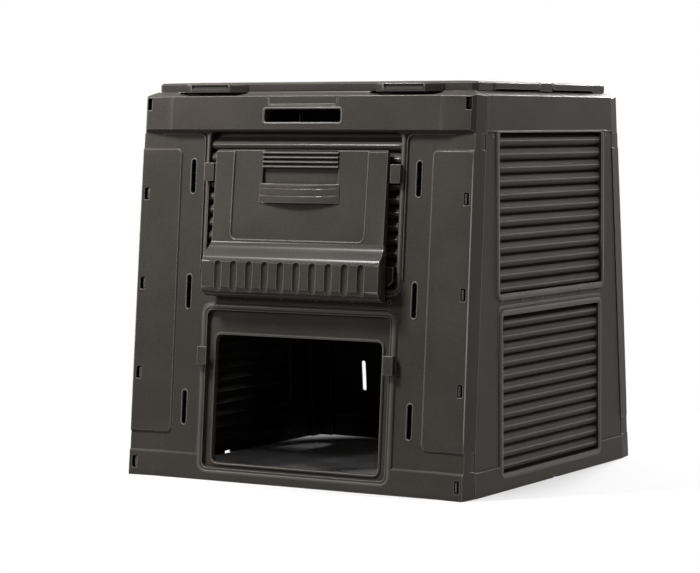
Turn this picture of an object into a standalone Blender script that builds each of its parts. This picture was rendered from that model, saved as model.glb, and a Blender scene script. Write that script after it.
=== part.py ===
"""Garden compost bin: four snapped moulded walls, two sliding doors and a lid of two flaps.

The origin is on the ground under the middle of the whole, +Z is up and the front faces -Y. The
let-down rear door reaches further out than the raised front one, so the four walls stand a little
towards -Y. All lengths are metres. Each wall is drawn flat, as (across, depth behind its outer face,
height), and then leaned into place.
"""
import math

import bmesh
import bpy
from mathutils import Matrix

# Whole bin
BIN_WIDTH = 0.788
BIN_DEPTH = 0.769
WALL_HEIGHT = 0.777
WALL_LEAN = 0.0635
WALL_BATTER = 0.005
SKIN = 0.0035
FIT_GAP = 0.0003
OVERRUN = 0.020
DRAFT = 0.0025
SHOULDER_RISE = 0.009
SHOULDER_INSET = 0.020
RETURN_DEPTH = 0.038
RETURN_STEP = 0.003
CORNER_DRAW = 0.006
CORNER_SEAM_STEP = 0.0005
CORNER_PROUD = 0.006
CORNER_TURN_SHARE = 0.41878
BAND_CORNER_CUT = 0.004
LEAN_BLEND_WIDTH = 0.053
LEAN_BLEND_FROM_CORNER = 0.049
LEAN_BLEND_FROM_SEAM = 0.00135

# Front and rear wall relief
PANEL_DEPTH = 0.0032
BAND_BOTTOM_SHARE = 0.90347
BAND_PROUD = 0.012
BAND_CORNER_PROUD = 0.001
BAND_KNEE_SHARE = 0.39594
BAND_KNEE_DIP = 0.002
BAND_CHAMFER = 0.0085
PLINTH_TOP_SHARE = 0.06821
CORNER_PANEL_INNER_SHARE = 0.36929
CORNER_PANEL_BOTTOM_SHARE = 0.11583
CORNER_PANEL_TOP_SHARE = 0.86358
CORNER_PANEL_RADIUS = 0.012
UPPER_FRAME_HALF_SHARE = 0.29556
UPPER_FRAME_BOTTOM_SHARE = 0.49678
UPPER_FRAME_RADIUS = 0.022
LOWER_FRAME_HALF_SHARE = 0.29061
LOWER_FRAME_TOP_SHARE = 0.46203
LOWER_FRAME_RADIUS = 0.020
VENT_WINDOW_HALF_SHARE = 0.28198
VENT_WINDOW_BOTTOM_SHARE = 0.51480
VENT_WINDOW_TOP_SHARE = 0.90862
VENT_WINDOW_RADIUS = 0.010
REVEAL_DEPTH = 0.017
DOOR_RECESS_HALF_SHARE = 0.27030
DOOR_RECESS_BOTTOM_SHARE = 0.03346
DOOR_RECESS_TOP_SHARE = 0.44402
DOOR_RECESS_DEPTH = 0.0092
DOOR_RECESS_RADIUS = 0.012
DOORWAY_HALF_SHARE = 0.24619
DOORWAY_BOTTOM_SHARE = 0.04633
DOORWAY_TOP_SHARE = 0.37967
DOORWAY_RADIUS = 0.012
DOORWAY_LIP = 0.005
DOORWAY_LIP_PROUD = 0.003
DOORWAY_REVEAL = 0.006

# Handle slot, vent slots, drain holes and snap windows
HANDLE_HALF_SHARE = 0.11231
HANDLE_BOTTOM_SHARE = 0.93308
HANDLE_TOP_SHARE = 0.96654
HANDLE_RADIUS = 0.004
HANDLE_REVEAL = 0.014
THUMB_PAD_HALF_SHARE = 0.10025
THUMB_PAD_BOTTOM_SHARE = 0.97876
THUMB_PAD_GROOVE = 0.0016
SLOT_ACROSS_SHARE = 0.33312
SLOT_WIDTH = 0.0105
SLOT_LENGTH_SHARE = 0.08880
SLOT_LOWEST_SHARE = 0.14157
SLOT_PITCH_SHARE = 0.30245
SLOT_COUNT = 3
DRAIN_HEIGHT_SHARE = 0.48263
DRAIN_DIAMETER = 0.006
DRAIN_PITCH_SHARE = 0.10508
DRAIN_PAIRS = 3
WINDOW_FROM_CORNER = 0.0188
WINDOW_WIDTH = 0.0115
WINDOW_HEIGHT_SHARE = 0.03127
WINDOW_LOWEST_SHARE = 0.01905
WINDOW_PITCH_SHARE = 0.23630
WINDOW_COUNT = 5
SCOOP_MARGIN = 0.004
SCOOP_SLOPE = 0.018
SCOOP_BACK = 0.026
SCOOP_FLOOR_RISE = 0.001
SCOOP_SIDE_RISE = 0.004

# Louvre slats
SLAT_HEIGHT_SHARE = 0.02767
SLAT_THICKNESS = 0.0024
SLAT_SET_BACK = 0.0045
SLAT_HALF_ANGLE = math.radians(66)
SLAT_STEPS = 4
SLAT_BURIED = 0.002
SLAT_TAIL_RISE = 0.0052
SLAT_TAIL_BACK = 0.005
SLAT_TAIL_THICKNESS = 0.002
LEDGE_LAP = 0.001
FRONT_SLAT_PITCH_SHARE = 0.03372
FRONT_SLAT_TOP_SHARE = 0.88739
FRONT_SLAT_COUNT = 11

# Door guides on the wall
GUIDE_INNER_SHARE = 0.26079
GUIDE_OUTER_SHARE = 0.28871
GUIDE_STEM = 0.0035
GUIDE_BACK = 0.008
GUIDE_THICKNESS = 0.003
GUIDE_HEIGHT_SHARE = 0.04762
UPPER_GUIDE_BOTTOM_SHARE = 0.77992
DOOR_TRAVEL_SHARE = 0.47876

# Side walls
SIDE_PANEL_DEPTH = 0.003
SIDE_BAND_BOTTOM_SHARE = 0.90734
SIDE_PLINTH_TOP_SHARE = 0.06435
SIDE_UPPER_FRAME_HALF_SHARE = 0.32770
SIDE_UPPER_FRAME_BOTTOM_SHARE = 0.49099
SIDE_UPPER_WINDOW_HALF_SHARE = 0.30689
SIDE_UPPER_WINDOW_BOTTOM_SHARE = 0.50000
SIDE_UPPER_WINDOW_TOP_SHARE = 0.90669
SIDE_LOWER_FRAME_HALF_SHARE = 0.31209
SIDE_LOWER_FRAME_TOP_SHARE = 0.46976
SIDE_LOWER_WINDOW_HALF_SHARE = 0.28999
SIDE_LOWER_WINDOW_BOTTOM_SHARE = 0.04440
SIDE_LOWER_WINDOW_TOP_SHARE = 0.44530
SIDE_FRAME_RADIUS = 0.016
SIDE_WINDOW_RADIUS = 0.004
SIDE_SLAT_COUNT = 12
SIDE_UPPER_SLAT_TOP_SHARE = 0.89897
SIDE_UPPER_SLAT_PITCH_SHARE = 0.03385
SIDE_LOWER_SLAT_TOP_SHARE = 0.43822
SIDE_LOWER_SLAT_PITCH_SHARE = 0.03288
SIDE_DRAIN_PITCH_SHARE = 0.11704
SIDE_DRAIN_COUNT = 6
FOOT_NOTCH_ACROSS_SHARE = 0.01300
FOOT_NOTCH_WIDTH = 0.022
FOOT_NOTCH_HEIGHT = 0.006
TONGUE_TOP_DROP = 0.011
JOGGLE = 0.008
LIP_REACH = 0.030
HOOK_CLEARANCE = 0.0015
HOOK_WIDTH = 0.004
HOOK_REACH = 0.002

# Sliding doors
DOOR_BOTTOM_SHARE = 0.48005
DOOR_TOP_SHARE = 0.86229
DOOR_HALF_SHARE = 0.25317
DOOR_BELLY_HALF_SHARE = 0.26015
DOOR_BACK = 0.0015
DOOR_SKIN = 0.003
DOOR_TOP_PROUD = 0.0115
DOOR_CREASE_PROUD = 0.017
DOOR_CREASE_HEIGHT_SHARE = 0.62420
DOOR_BELLY_PROUD = 0.042
DOOR_BELLY_TOP_SHARE = 0.57400
DOOR_BELLY_BOTTOM_SHARE = 0.50965
DOOR_GUIDE_CLEARANCE = 0.001
DOOR_EDGE_ROUND = 0.004
DOOR_FOOT_PROUD = 0.006
DOOR_CORNER_RADIUS = 0.007
DOOR_ROUND_STEPS = 4
DOOR_FACE_HALF_SHARE = 0.19670
DOOR_FACE_BOTTOM_SHARE = 0.63063
DOOR_FACE_RADIUS = 0.014
DOOR_FACE_SUNK = 0.0022
FLUTE_COUNT = 10
FLUTE_PITCH_SHARE = 0.04670
FLUTE_RADIUS = 0.0095
FLUTE_TOP_SHARE = 0.57915
FLUTE_SUNK = 0.0055
FLUTE_SIDES = 12
FLUTE_ROUND_STEPS = 6
LUG_OUTER_SHARE = 0.27728
LUG_FRONT_GAP = 0.0003
LUG_THICKNESS = 0.004
LUG_SHORTER = 0.001
LUG_CHAMFER = 0.008
LOWER_LUG_BOTTOM_SHARE = 0.52381
GRIP_HALF_SHARE = 0.11104
GRIP_TOP_SHARE = 0.86100
GRIP_BOTTOM_SHARE = 0.76963
GRIP_DEPTH = 0.0065
GRIP_RIB_COUNT = 4
GRIP_RIB_PITCH_SHARE = 0.01184
GRIP_RIB_HEIGHT_SHARE = 0.00669
GRIP_RIB_PROUD = 0.0045
PULL_HALF_SHARE = 0.11802
PULL_TOP_SHARE = 0.77606
PULL_LIP_SHARE = 0.72651
PULL_BOTTOM_SHARE = 0.69755
PULL_PROUD = 0.013
PULL_STEPS = 8
PULL_UNDER_SHARES = (0.9, 0.6, 0.3)
PULL_GROOVE_SHARES = (0.38, 0.76)
PULL_GROOVE = 0.0015
PULL_END_PROUD = 0.0016

# Lid
LID_SIDE_MARGIN = 0.0145
LID_CORNER_INSET = 0.0035
LID_FRONT_INSET = 0.0135
LID_FRONT_MARGIN = 0.022
LID_CORNER_CUT = 0.010
LID_BLOCK_LENGTH = 0.068
LID_STEP_LENGTH = 0.007
LID_HEIGHT = 0.018
LID_EDGE_ROUND = 0.003
LID_CROWN = 0.0022
LID_CROWN_INSET = 0.060
LID_SIDE_LIFT = 0.0035
LID_PANEL_BORDER = 0.046
LID_PANEL_SUNK = 0.002
LID_PANEL_RADIUS = 0.020
LID_GRIP_ACROSS_SHARE = 0.28553
LID_GRIP_ROOT_HALF_SHARE = 0.10025
LID_GRIP_FACE_HALF_SHARE = 0.05964
LID_GRIP_REACH = 0.028
LID_GRIP_DROP = 0.0015
LID_GRIP_TOP_DROP = 0.002
LID_GRIP_GROOVE_BORDER = 0.005
HINGE_ACROSS = 0.038
HINGE_DROP = 0.0075
KNUCKLE_RADIUS = 0.007
ROD_RADIUS = 0.003
ROD_OVERHANG = 0.004
HINGE_SIDES = 12
EAR_WIDTH = 0.016
EAR_PITCH_SHARE = 0.29695
EAR_COUNT = 4
EAR_WEB_SHARE = 0.8
HINGE_SIDE_GAP = 0.001
BAR_HALF_WIDTH = 0.029
BAR_KEEL_DEPTH = 0.016
BAR_CHAMFER = 0.004
BAR_KEEL_GAP = 0.004

# Finish
CORNER_STEPS = 3
LEAST_RADIUS_SHARE = 0.2
SHARP_ANGLE = math.radians(32)
PLASTIC = (0.072, 0.064, 0.056, 1.0)
ROD_METAL = (0.42, 0.43, 0.44, 1.0)
PLASTIC_ROUGHNESS = 0.55
ROD_ROUGHNESS = 0.35

# Heights, from the wall height
PLINTH_TOP = WALL_HEIGHT * PLINTH_TOP_SHARE
CORNER_PANEL_BOTTOM = WALL_HEIGHT * CORNER_PANEL_BOTTOM_SHARE
CORNER_PANEL_TOP = WALL_HEIGHT * CORNER_PANEL_TOP_SHARE
UPPER_FRAME_BOTTOM = WALL_HEIGHT * UPPER_FRAME_BOTTOM_SHARE
LOWER_FRAME_TOP = WALL_HEIGHT * LOWER_FRAME_TOP_SHARE
VENT_WINDOW_BOTTOM = WALL_HEIGHT * VENT_WINDOW_BOTTOM_SHARE
VENT_WINDOW_TOP = WALL_HEIGHT * VENT_WINDOW_TOP_SHARE
DOOR_RECESS_BOTTOM = WALL_HEIGHT * DOOR_RECESS_BOTTOM_SHARE
DOOR_RECESS_TOP = WALL_HEIGHT * DOOR_RECESS_TOP_SHARE
DOORWAY_BOTTOM = WALL_HEIGHT * DOORWAY_BOTTOM_SHARE
DOORWAY_TOP = WALL_HEIGHT * DOORWAY_TOP_SHARE
BAND_BOTTOM = WALL_HEIGHT * BAND_BOTTOM_SHARE
HANDLE_BOTTOM = WALL_HEIGHT * HANDLE_BOTTOM_SHARE
HANDLE_TOP = WALL_HEIGHT * HANDLE_TOP_SHARE
THUMB_PAD_BOTTOM = WALL_HEIGHT * THUMB_PAD_BOTTOM_SHARE
SLOT_LENGTH = WALL_HEIGHT * SLOT_LENGTH_SHARE
SLOT_LOWEST = WALL_HEIGHT * SLOT_LOWEST_SHARE
SLOT_PITCH = WALL_HEIGHT * SLOT_PITCH_SHARE
DRAIN_HEIGHT = WALL_HEIGHT * DRAIN_HEIGHT_SHARE
WINDOW_HEIGHT = WALL_HEIGHT * WINDOW_HEIGHT_SHARE
WINDOW_LOWEST = WALL_HEIGHT * WINDOW_LOWEST_SHARE
WINDOW_PITCH = WALL_HEIGHT * WINDOW_PITCH_SHARE
SLAT_HEIGHT = WALL_HEIGHT * SLAT_HEIGHT_SHARE
FRONT_SLAT_PITCH = WALL_HEIGHT * FRONT_SLAT_PITCH_SHARE
FRONT_SLAT_TOP = WALL_HEIGHT * FRONT_SLAT_TOP_SHARE
GUIDE_HEIGHT = WALL_HEIGHT * GUIDE_HEIGHT_SHARE
UPPER_GUIDE_BOTTOM = WALL_HEIGHT * UPPER_GUIDE_BOTTOM_SHARE
DOOR_TRAVEL = WALL_HEIGHT * DOOR_TRAVEL_SHARE
SIDE_BAND_BOTTOM = WALL_HEIGHT * SIDE_BAND_BOTTOM_SHARE
SIDE_PLINTH_TOP = WALL_HEIGHT * SIDE_PLINTH_TOP_SHARE
SIDE_UPPER_FRAME_BOTTOM = WALL_HEIGHT * SIDE_UPPER_FRAME_BOTTOM_SHARE
SIDE_UPPER_WINDOW_BOTTOM = WALL_HEIGHT * SIDE_UPPER_WINDOW_BOTTOM_SHARE
SIDE_UPPER_WINDOW_TOP = WALL_HEIGHT * SIDE_UPPER_WINDOW_TOP_SHARE
SIDE_LOWER_FRAME_TOP = WALL_HEIGHT * SIDE_LOWER_FRAME_TOP_SHARE
SIDE_LOWER_WINDOW_BOTTOM = WALL_HEIGHT * SIDE_LOWER_WINDOW_BOTTOM_SHARE
SIDE_LOWER_WINDOW_TOP = WALL_HEIGHT * SIDE_LOWER_WINDOW_TOP_SHARE
SIDE_UPPER_SLAT_TOP = WALL_HEIGHT * SIDE_UPPER_SLAT_TOP_SHARE
SIDE_UPPER_SLAT_PITCH = WALL_HEIGHT * SIDE_UPPER_SLAT_PITCH_SHARE
SIDE_LOWER_SLAT_TOP = WALL_HEIGHT * SIDE_LOWER_SLAT_TOP_SHARE
SIDE_LOWER_SLAT_PITCH = WALL_HEIGHT * SIDE_LOWER_SLAT_PITCH_SHARE
DOOR_BOTTOM = WALL_HEIGHT * DOOR_BOTTOM_SHARE
DOOR_TOP = WALL_HEIGHT * DOOR_TOP_SHARE
DOOR_CREASE_HEIGHT = WALL_HEIGHT * DOOR_CREASE_HEIGHT_SHARE
DOOR_BELLY_TOP = WALL_HEIGHT * DOOR_BELLY_TOP_SHARE
DOOR_BELLY_BOTTOM = WALL_HEIGHT * DOOR_BELLY_BOTTOM_SHARE
DOOR_FACE_BOTTOM = WALL_HEIGHT * DOOR_FACE_BOTTOM_SHARE
FLUTE_TOP = WALL_HEIGHT * FLUTE_TOP_SHARE
LOWER_LUG_BOTTOM = WALL_HEIGHT * LOWER_LUG_BOTTOM_SHARE
GRIP_TOP = WALL_HEIGHT * GRIP_TOP_SHARE
GRIP_BOTTOM = WALL_HEIGHT * GRIP_BOTTOM_SHARE
GRIP_RIB_PITCH = WALL_HEIGHT * GRIP_RIB_PITCH_SHARE
GRIP_RIB_HEIGHT = WALL_HEIGHT * GRIP_RIB_HEIGHT_SHARE
PULL_TOP = WALL_HEIGHT * PULL_TOP_SHARE
PULL_LIP = WALL_HEIGHT * PULL_LIP_SHARE
PULL_BOTTOM = WALL_HEIGHT * PULL_BOTTOM_SHARE

# Widths on the end walls, doors and lid, from the width of the bin
BAND_KNEE = BIN_WIDTH * BAND_KNEE_SHARE
CORNER_PANEL_INNER = BIN_WIDTH * CORNER_PANEL_INNER_SHARE
UPPER_FRAME_HALF = BIN_WIDTH * UPPER_FRAME_HALF_SHARE
LOWER_FRAME_HALF = BIN_WIDTH * LOWER_FRAME_HALF_SHARE
VENT_WINDOW_HALF = BIN_WIDTH * VENT_WINDOW_HALF_SHARE
DOOR_RECESS_HALF = BIN_WIDTH * DOOR_RECESS_HALF_SHARE
DOORWAY_HALF = BIN_WIDTH * DOORWAY_HALF_SHARE
HANDLE_HALF = BIN_WIDTH * HANDLE_HALF_SHARE
CORNER_TURN = BIN_WIDTH * CORNER_TURN_SHARE
THUMB_PAD_HALF = BIN_WIDTH * THUMB_PAD_HALF_SHARE
SLOT_ACROSS = BIN_WIDTH * SLOT_ACROSS_SHARE
DRAIN_PITCH = BIN_WIDTH * DRAIN_PITCH_SHARE
GUIDE_INNER = BIN_WIDTH * GUIDE_INNER_SHARE
GUIDE_OUTER = BIN_WIDTH * GUIDE_OUTER_SHARE
DOOR_HALF = BIN_WIDTH * DOOR_HALF_SHARE
DOOR_BELLY_HALF = BIN_WIDTH * DOOR_BELLY_HALF_SHARE
DOOR_FACE_HALF = BIN_WIDTH * DOOR_FACE_HALF_SHARE
FLUTE_PITCH = BIN_WIDTH * FLUTE_PITCH_SHARE
LUG_OUTER = BIN_WIDTH * LUG_OUTER_SHARE
GRIP_HALF = BIN_WIDTH * GRIP_HALF_SHARE
PULL_HALF = BIN_WIDTH * PULL_HALF_SHARE
LID_GRIP_ACROSS = BIN_WIDTH * LID_GRIP_ACROSS_SHARE
LID_GRIP_ROOT_HALF = BIN_WIDTH * LID_GRIP_ROOT_HALF_SHARE
LID_GRIP_FACE_HALF = BIN_WIDTH * LID_GRIP_FACE_HALF_SHARE
EAR_PITCH = BIN_WIDTH * EAR_PITCH_SHARE

# Widths on the side walls, from the depth of the bin
SIDE_UPPER_FRAME_HALF = BIN_DEPTH * SIDE_UPPER_FRAME_HALF_SHARE
SIDE_UPPER_WINDOW_HALF = BIN_DEPTH * SIDE_UPPER_WINDOW_HALF_SHARE
SIDE_LOWER_FRAME_HALF = BIN_DEPTH * SIDE_LOWER_FRAME_HALF_SHARE
SIDE_LOWER_WINDOW_HALF = BIN_DEPTH * SIDE_LOWER_WINDOW_HALF_SHARE
SIDE_DRAIN_PITCH = BIN_DEPTH * SIDE_DRAIN_PITCH_SHARE
FOOT_NOTCH_ACROSS = BIN_DEPTH * FOOT_NOTCH_ACROSS_SHARE

# Worked out from the sizes above
HALF_WIDTH = BIN_WIDTH / 2
HALF_DEPTH = BIN_DEPTH / 2
LEAN_SLOPE = WALL_LEAN / WALL_HEIGHT
BATTER_SLOPE = WALL_BATTER / WALL_HEIGHT
RIM_TOP = WALL_HEIGHT + SHOULDER_RISE
LID_BOTTOM = RIM_TOP + FIT_GAP
LID_TOP = LID_BOTTOM + LID_HEIGHT
HINGE_HEIGHT = LID_TOP - HINGE_DROP
SEAM = HALF_DEPTH - RETURN_DEPTH - FIT_GAP / 2
LOWER_GUIDE_BOTTOM = UPPER_GUIDE_BOTTOM - DOOR_TRAVEL
ORIGIN_SHIFT = LEAN_SLOPE * DOOR_TRAVEL / 2
BATTER_END = HALF_WIDTH - LEAN_BLEND_FROM_CORNER
BATTER_START = BATTER_END - LEAN_BLEND_WIDTH
DRAW_IN_END = SEAM - LEAN_BLEND_FROM_SEAM
DRAW_IN_START = DRAW_IN_END - LEAN_BLEND_WIDTH
WINDOW_ACROSS = HALF_WIDTH - WINDOW_FROM_CORNER
SCOOP_HALF = LID_GRIP_ROOT_HALF + SCOOP_MARGIN
TONGUE_FLANGE_TOP = WALL_HEIGHT - TONGUE_TOP_DROP
LUG_HEIGHT = GUIDE_HEIGHT - LUG_SHORTER
LID_HALF_WIDTH = HALF_WIDTH - WALL_BATTER - LID_SIDE_MARGIN
LID_CORNER_HALF_WIDTH = LID_HALF_WIDTH - LID_CORNER_INSET
LID_FRONT_HALF_WIDTH = LID_HALF_WIDTH - LID_FRONT_INSET
LID_HALF_DEPTH = HALF_DEPTH - WALL_LEAN - LID_FRONT_MARGIN


def clear_scene():
    for old in list(bpy.data.objects):
        bpy.data.objects.remove(old)


def make_material(name, colour, roughness, metallic):
    material = bpy.data.materials.new(name)
    material.use_nodes = True
    shader = material.node_tree.nodes["Principled BSDF"]
    shader.inputs["Base Color"].default_value = colour
    shader.inputs["Roughness"].default_value = roughness
    shader.inputs["Metallic"].default_value = metallic
    return material


def object_from(bm, name):
    bmesh.ops.recalc_face_normals(bm, faces=bm.faces)
    mesh = bpy.data.meshes.new(name)
    bm.to_mesh(mesh)
    bm.free()
    piece = bpy.data.objects.new(name, mesh)
    bpy.context.scene.collection.objects.link(piece)
    return piece


def loft(rings, name="loft"):
    """A closed solid through rings of the same number of points, with a cap at each end."""
    bm = bmesh.new()
    levels = [[bm.verts.new(point) for point in ring] for ring in rings]
    for low, high in zip(levels, levels[1:]):
        for index in range(len(low)):
            nearer = index - 1
            bm.faces.new((low[nearer], low[index], high[index], high[nearer]))
    bm.faces.new(levels[0])
    bm.faces.new(levels[-1])
    return object_from(bm, name)


def block(across, depth, height, name="block"):
    """A box given by (low, high) pairs."""
    corners = ((0, 0), (1, 0), (1, 1), (0, 1))
    rings = [[(across[i], depth[j], level) for i, j in corners] for level in height]
    return loft(rings, name)


def outline(across, height, radii, inset=0.0):
    """A rectangle in (across, height), each corner rounded by its own radius, shrunk by inset."""
    left, right = across[0] + inset, across[1] - inset
    low, high = height[0] + inset, height[1] - inset
    corners = ((left, low, 180), (right, low, 270), (right, high, 0), (left, high, 90))
    points = []
    for (corner_x, corner_z, start), radius in zip(corners, radii):
        if radius == 0:
            points.append((corner_x, corner_z))
            continue
        fit = max(radius - inset, radius * LEAST_RADIUS_SHARE)
        fit = min(fit, (right - left) / 2, (high - low) / 2)
        centre_x = corner_x + (fit if corner_x == left else -fit)
        centre_z = corner_z + (fit if corner_z == low else -fit)
        for step in range(CORNER_STEPS + 1):
            turn = math.radians(start + 90 * step / CORNER_STEPS)
            points.append((centre_x + fit * math.cos(turn), centre_z + fit * math.sin(turn)))
    return points


def plate(across, height, radii, back, front, draft=0.0, name="plate"):
    """A raised field with a drafted edge, from depth back out to depth front."""
    full = outline(across, height, radii)
    if draft == 0:
        rings = [[(x, depth, z) for x, z in full] for depth in (back, front)]
        return loft(rings, name)
    small = outline(across, height, radii, draft)
    rings = [[(x, depth, z) for x, z in full] for depth in (back, front + draft)]
    rings.append([(x, front, z) for x, z in small])
    return loft(rings, name)


def sweep(profile, across, name="sweep"):
    """A profile of (depth, height) points run along the across axis."""
    rings = [[(x, depth, height) for depth, height in profile] for x in across]
    return loft(rings, name)


def mirrored(piece):
    """A copy of a piece on the other side of the middle."""
    bm = bmesh.new()
    bm.from_mesh(piece.data)
    bmesh.ops.scale(bm, vec=(-1, 1, 1), verts=bm.verts)
    return object_from(bm, piece.name)


def pair(piece):
    return [piece, mirrored(piece)]


def gather(pieces, name="group"):
    """Loose pieces put together as one object, to unite or to cut with at once."""
    bm = bmesh.new()
    for piece in pieces:
        bm.from_mesh(piece.data)
        bpy.data.objects.remove(piece)
    return object_from(bm, name)


def combine(body, tool, operation):
    """Unites, cuts or intersects the body with the tool, and keeps the result as the body's mesh."""
    step = body.modifiers.new(operation.lower(), "BOOLEAN")
    step.operation = operation
    step.solver = "EXACT"
    step.object = tool
    graph = bpy.context.evaluated_depsgraph_get()
    result = bpy.data.meshes.new_from_object(body.evaluated_get(graph))
    body.modifiers.clear()
    body.data = result
    bpy.data.objects.remove(tool)


def unite(body, *tools):
    for tool in tools:
        combine(body, tool, "UNION")


def cut(body, *tools):
    for tool in tools:
        combine(body, tool, "DIFFERENCE")


def cylinder_along(across, centre_depth, centre_height, radius, sides=HINGE_SIDES):
    """A round bar along the across axis."""
    turns = [2 * math.pi * (side + 0.5) / sides for side in range(sides)]
    profile = [(centre_depth + radius * math.cos(turn), centre_height + radius * math.sin(turn))
               for turn in turns]
    return sweep(profile, across)


def slat(half_length, top, face_depth):
    """One louvre slat: a hollow roll bulging to face_depth, with a tail up behind the slat above."""
    radius = SLAT_HEIGHT / 2 / math.sin(SLAT_HALF_ANGLE)
    centre_depth = face_depth + radius
    centre_height = top - SLAT_HEIGHT / 2
    turns = [SLAT_HALF_ANGLE * (2 * step / SLAT_STEPS - 1) for step in range(SLAT_STEPS + 1)]
    outer = [(centre_depth - radius * math.cos(turn), centre_height + radius * math.sin(turn))
             for turn in turns]
    inside = radius - SLAT_THICKNESS
    inner = [(centre_depth - inside * math.cos(turn), centre_height + inside * math.sin(turn))
             for turn in reversed(turns)]
    edge = outer[-1][0]
    tail = [(edge + SLAT_TAIL_BACK, top + SLAT_TAIL_RISE),
            (edge + SLAT_TAIL_BACK + SLAT_TAIL_THICKNESS, top + SLAT_TAIL_RISE - SLAT_TAIL_THICKNESS / 2)]
    ends = (-half_length - SLAT_BURIED, half_length + SLAT_BURIED)
    return sweep(outer + tail + inner, ends)


def slats(half_length, top, pitch, count, face_depth):
    return gather([slat(half_length, top - pitch * index, face_depth) for index in range(count)])


def louvre_opening(half, top, pitch, count, depth):
    """The hole behind a row of slats, which leaves a ledge of the reveal's floor above and below it."""
    low = top - pitch * (count - 1) - SLAT_HEIGHT + LEDGE_LAP
    high = top + SLAT_TAIL_RISE - LEDGE_LAP
    return block((-half, half), depth, (low, high))


def evenly(first, pitch, count):
    return [first + pitch * index for index in range(count)]


def slot_cutter(centre, width, bottom, length, depth):
    across = (centre - width / 2, centre + width / 2)
    return plate(across, (bottom, bottom + length), [width / 2] * 4, depth[1], depth[0])


def drain_cutter(centre, depth):
    bottom = DRAIN_HEIGHT - DRAIN_DIAMETER / 2
    return slot_cutter(centre, DRAIN_DIAMETER, bottom, DRAIN_DIAMETER, depth)


def window_cutter(bottom):
    across = (WINDOW_ACROSS - WINDOW_WIDTH / 2, WINDOW_ACROSS + WINDOW_WIDTH / 2)
    depth = (-OVERRUN, PANEL_DEPTH + SKIN / 2)
    return block(across, depth, (bottom, bottom + WINDOW_HEIGHT))


# Front and rear wall

def band_ring(height, side_inset, front_inset, skin, back, dip=0.0):
    """The top band in plan: straight in the middle, bent back beyond each knee to the corner."""
    side = HALF_WIDTH - skin - side_inset
    middle = -BAND_PROUD + skin + front_inset
    corner = -BAND_CORNER_PROUD + skin + front_inset
    dip = height - dip
    right = [(BAND_KNEE, middle, height), (side, corner, dip), (side, back, dip)]
    left = [(-x, depth, level) for x, depth, level in reversed(right)]
    return right + left


def top_band(skin, back):
    bottom = BAND_BOTTOM + skin
    return loft([
        band_ring(bottom, 0.0, BAND_CHAMFER, skin, back),
        band_ring(bottom + BAND_CHAMFER, 0.0, 0.0, skin, back),
        band_ring(WALL_HEIGHT - skin, 0.0, 0.0, skin, back, BAND_KNEE_DIP),
        band_ring(RIM_TOP - skin, SHOULDER_INSET, SHOULDER_INSET, skin, back),
    ], "top_band")


def return_line(depth):
    """How far out the return's face lies at a depth: it runs out from the corner to the seam."""
    drawn = CORNER_DRAW - (CORNER_DRAW - CORNER_SEAM_STEP) * depth / RETURN_DEPTH
    return HALF_WIDTH - drawn


def corner_wedge(skin):
    """What is taken off each side so that the return slopes in to the corner."""
    near, far = -OVERRUN * 2, RETURN_DEPTH + OVERRUN * 3
    plan = ((return_line(near) - skin, near), (HALF_WIDTH + OVERRUN, near),
            (HALF_WIDTH + OVERRUN, far), (return_line(far) - skin, far))
    rings = [[(x, depth, z) for x, depth in plan] for z in (-OVERRUN * 2, RIM_TOP + OVERRUN)]
    return loft(rings)


def band_corner_wedge(skin):
    """What is taken off the top band's upright corner to leave its narrow cut."""
    line = return_line(0.0) - BAND_CORNER_CUT - BAND_CORNER_PROUD - skin * math.sqrt(2)
    reach = OVERRUN * 2
    plan = ((line - reach, -reach), (line + reach, -reach), (line + reach, reach))
    rings = [[(x, depth, z) for x, depth in plan] for z in (BAND_BOTTOM - skin, RIM_TOP + OVERRUN * 2)]
    return loft(rings)


def scoop(centre, skin):
    """The finger hollow in the shoulder under a lid grip, narrower at the bottom."""
    half = SCOOP_HALF + skin
    floor = WALL_HEIGHT + SCOOP_FLOOR_RISE - skin
    depth = (-BAND_PROUD - OVERRUN, SCOOP_BACK + skin)
    rings = []
    for level, width in ((floor, half - SCOOP_SLOPE), (floor + SCOOP_SIDE_RISE, half), (RIM_TOP + OVERRUN, half)):
        plan = ((centre - width, depth[0]), (centre + width, depth[0]),
                (centre + width, depth[1]), (centre - width, depth[1]))
        rings.append([(x, y, level) for x, y in plan])
    return loft(rings)


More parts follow.
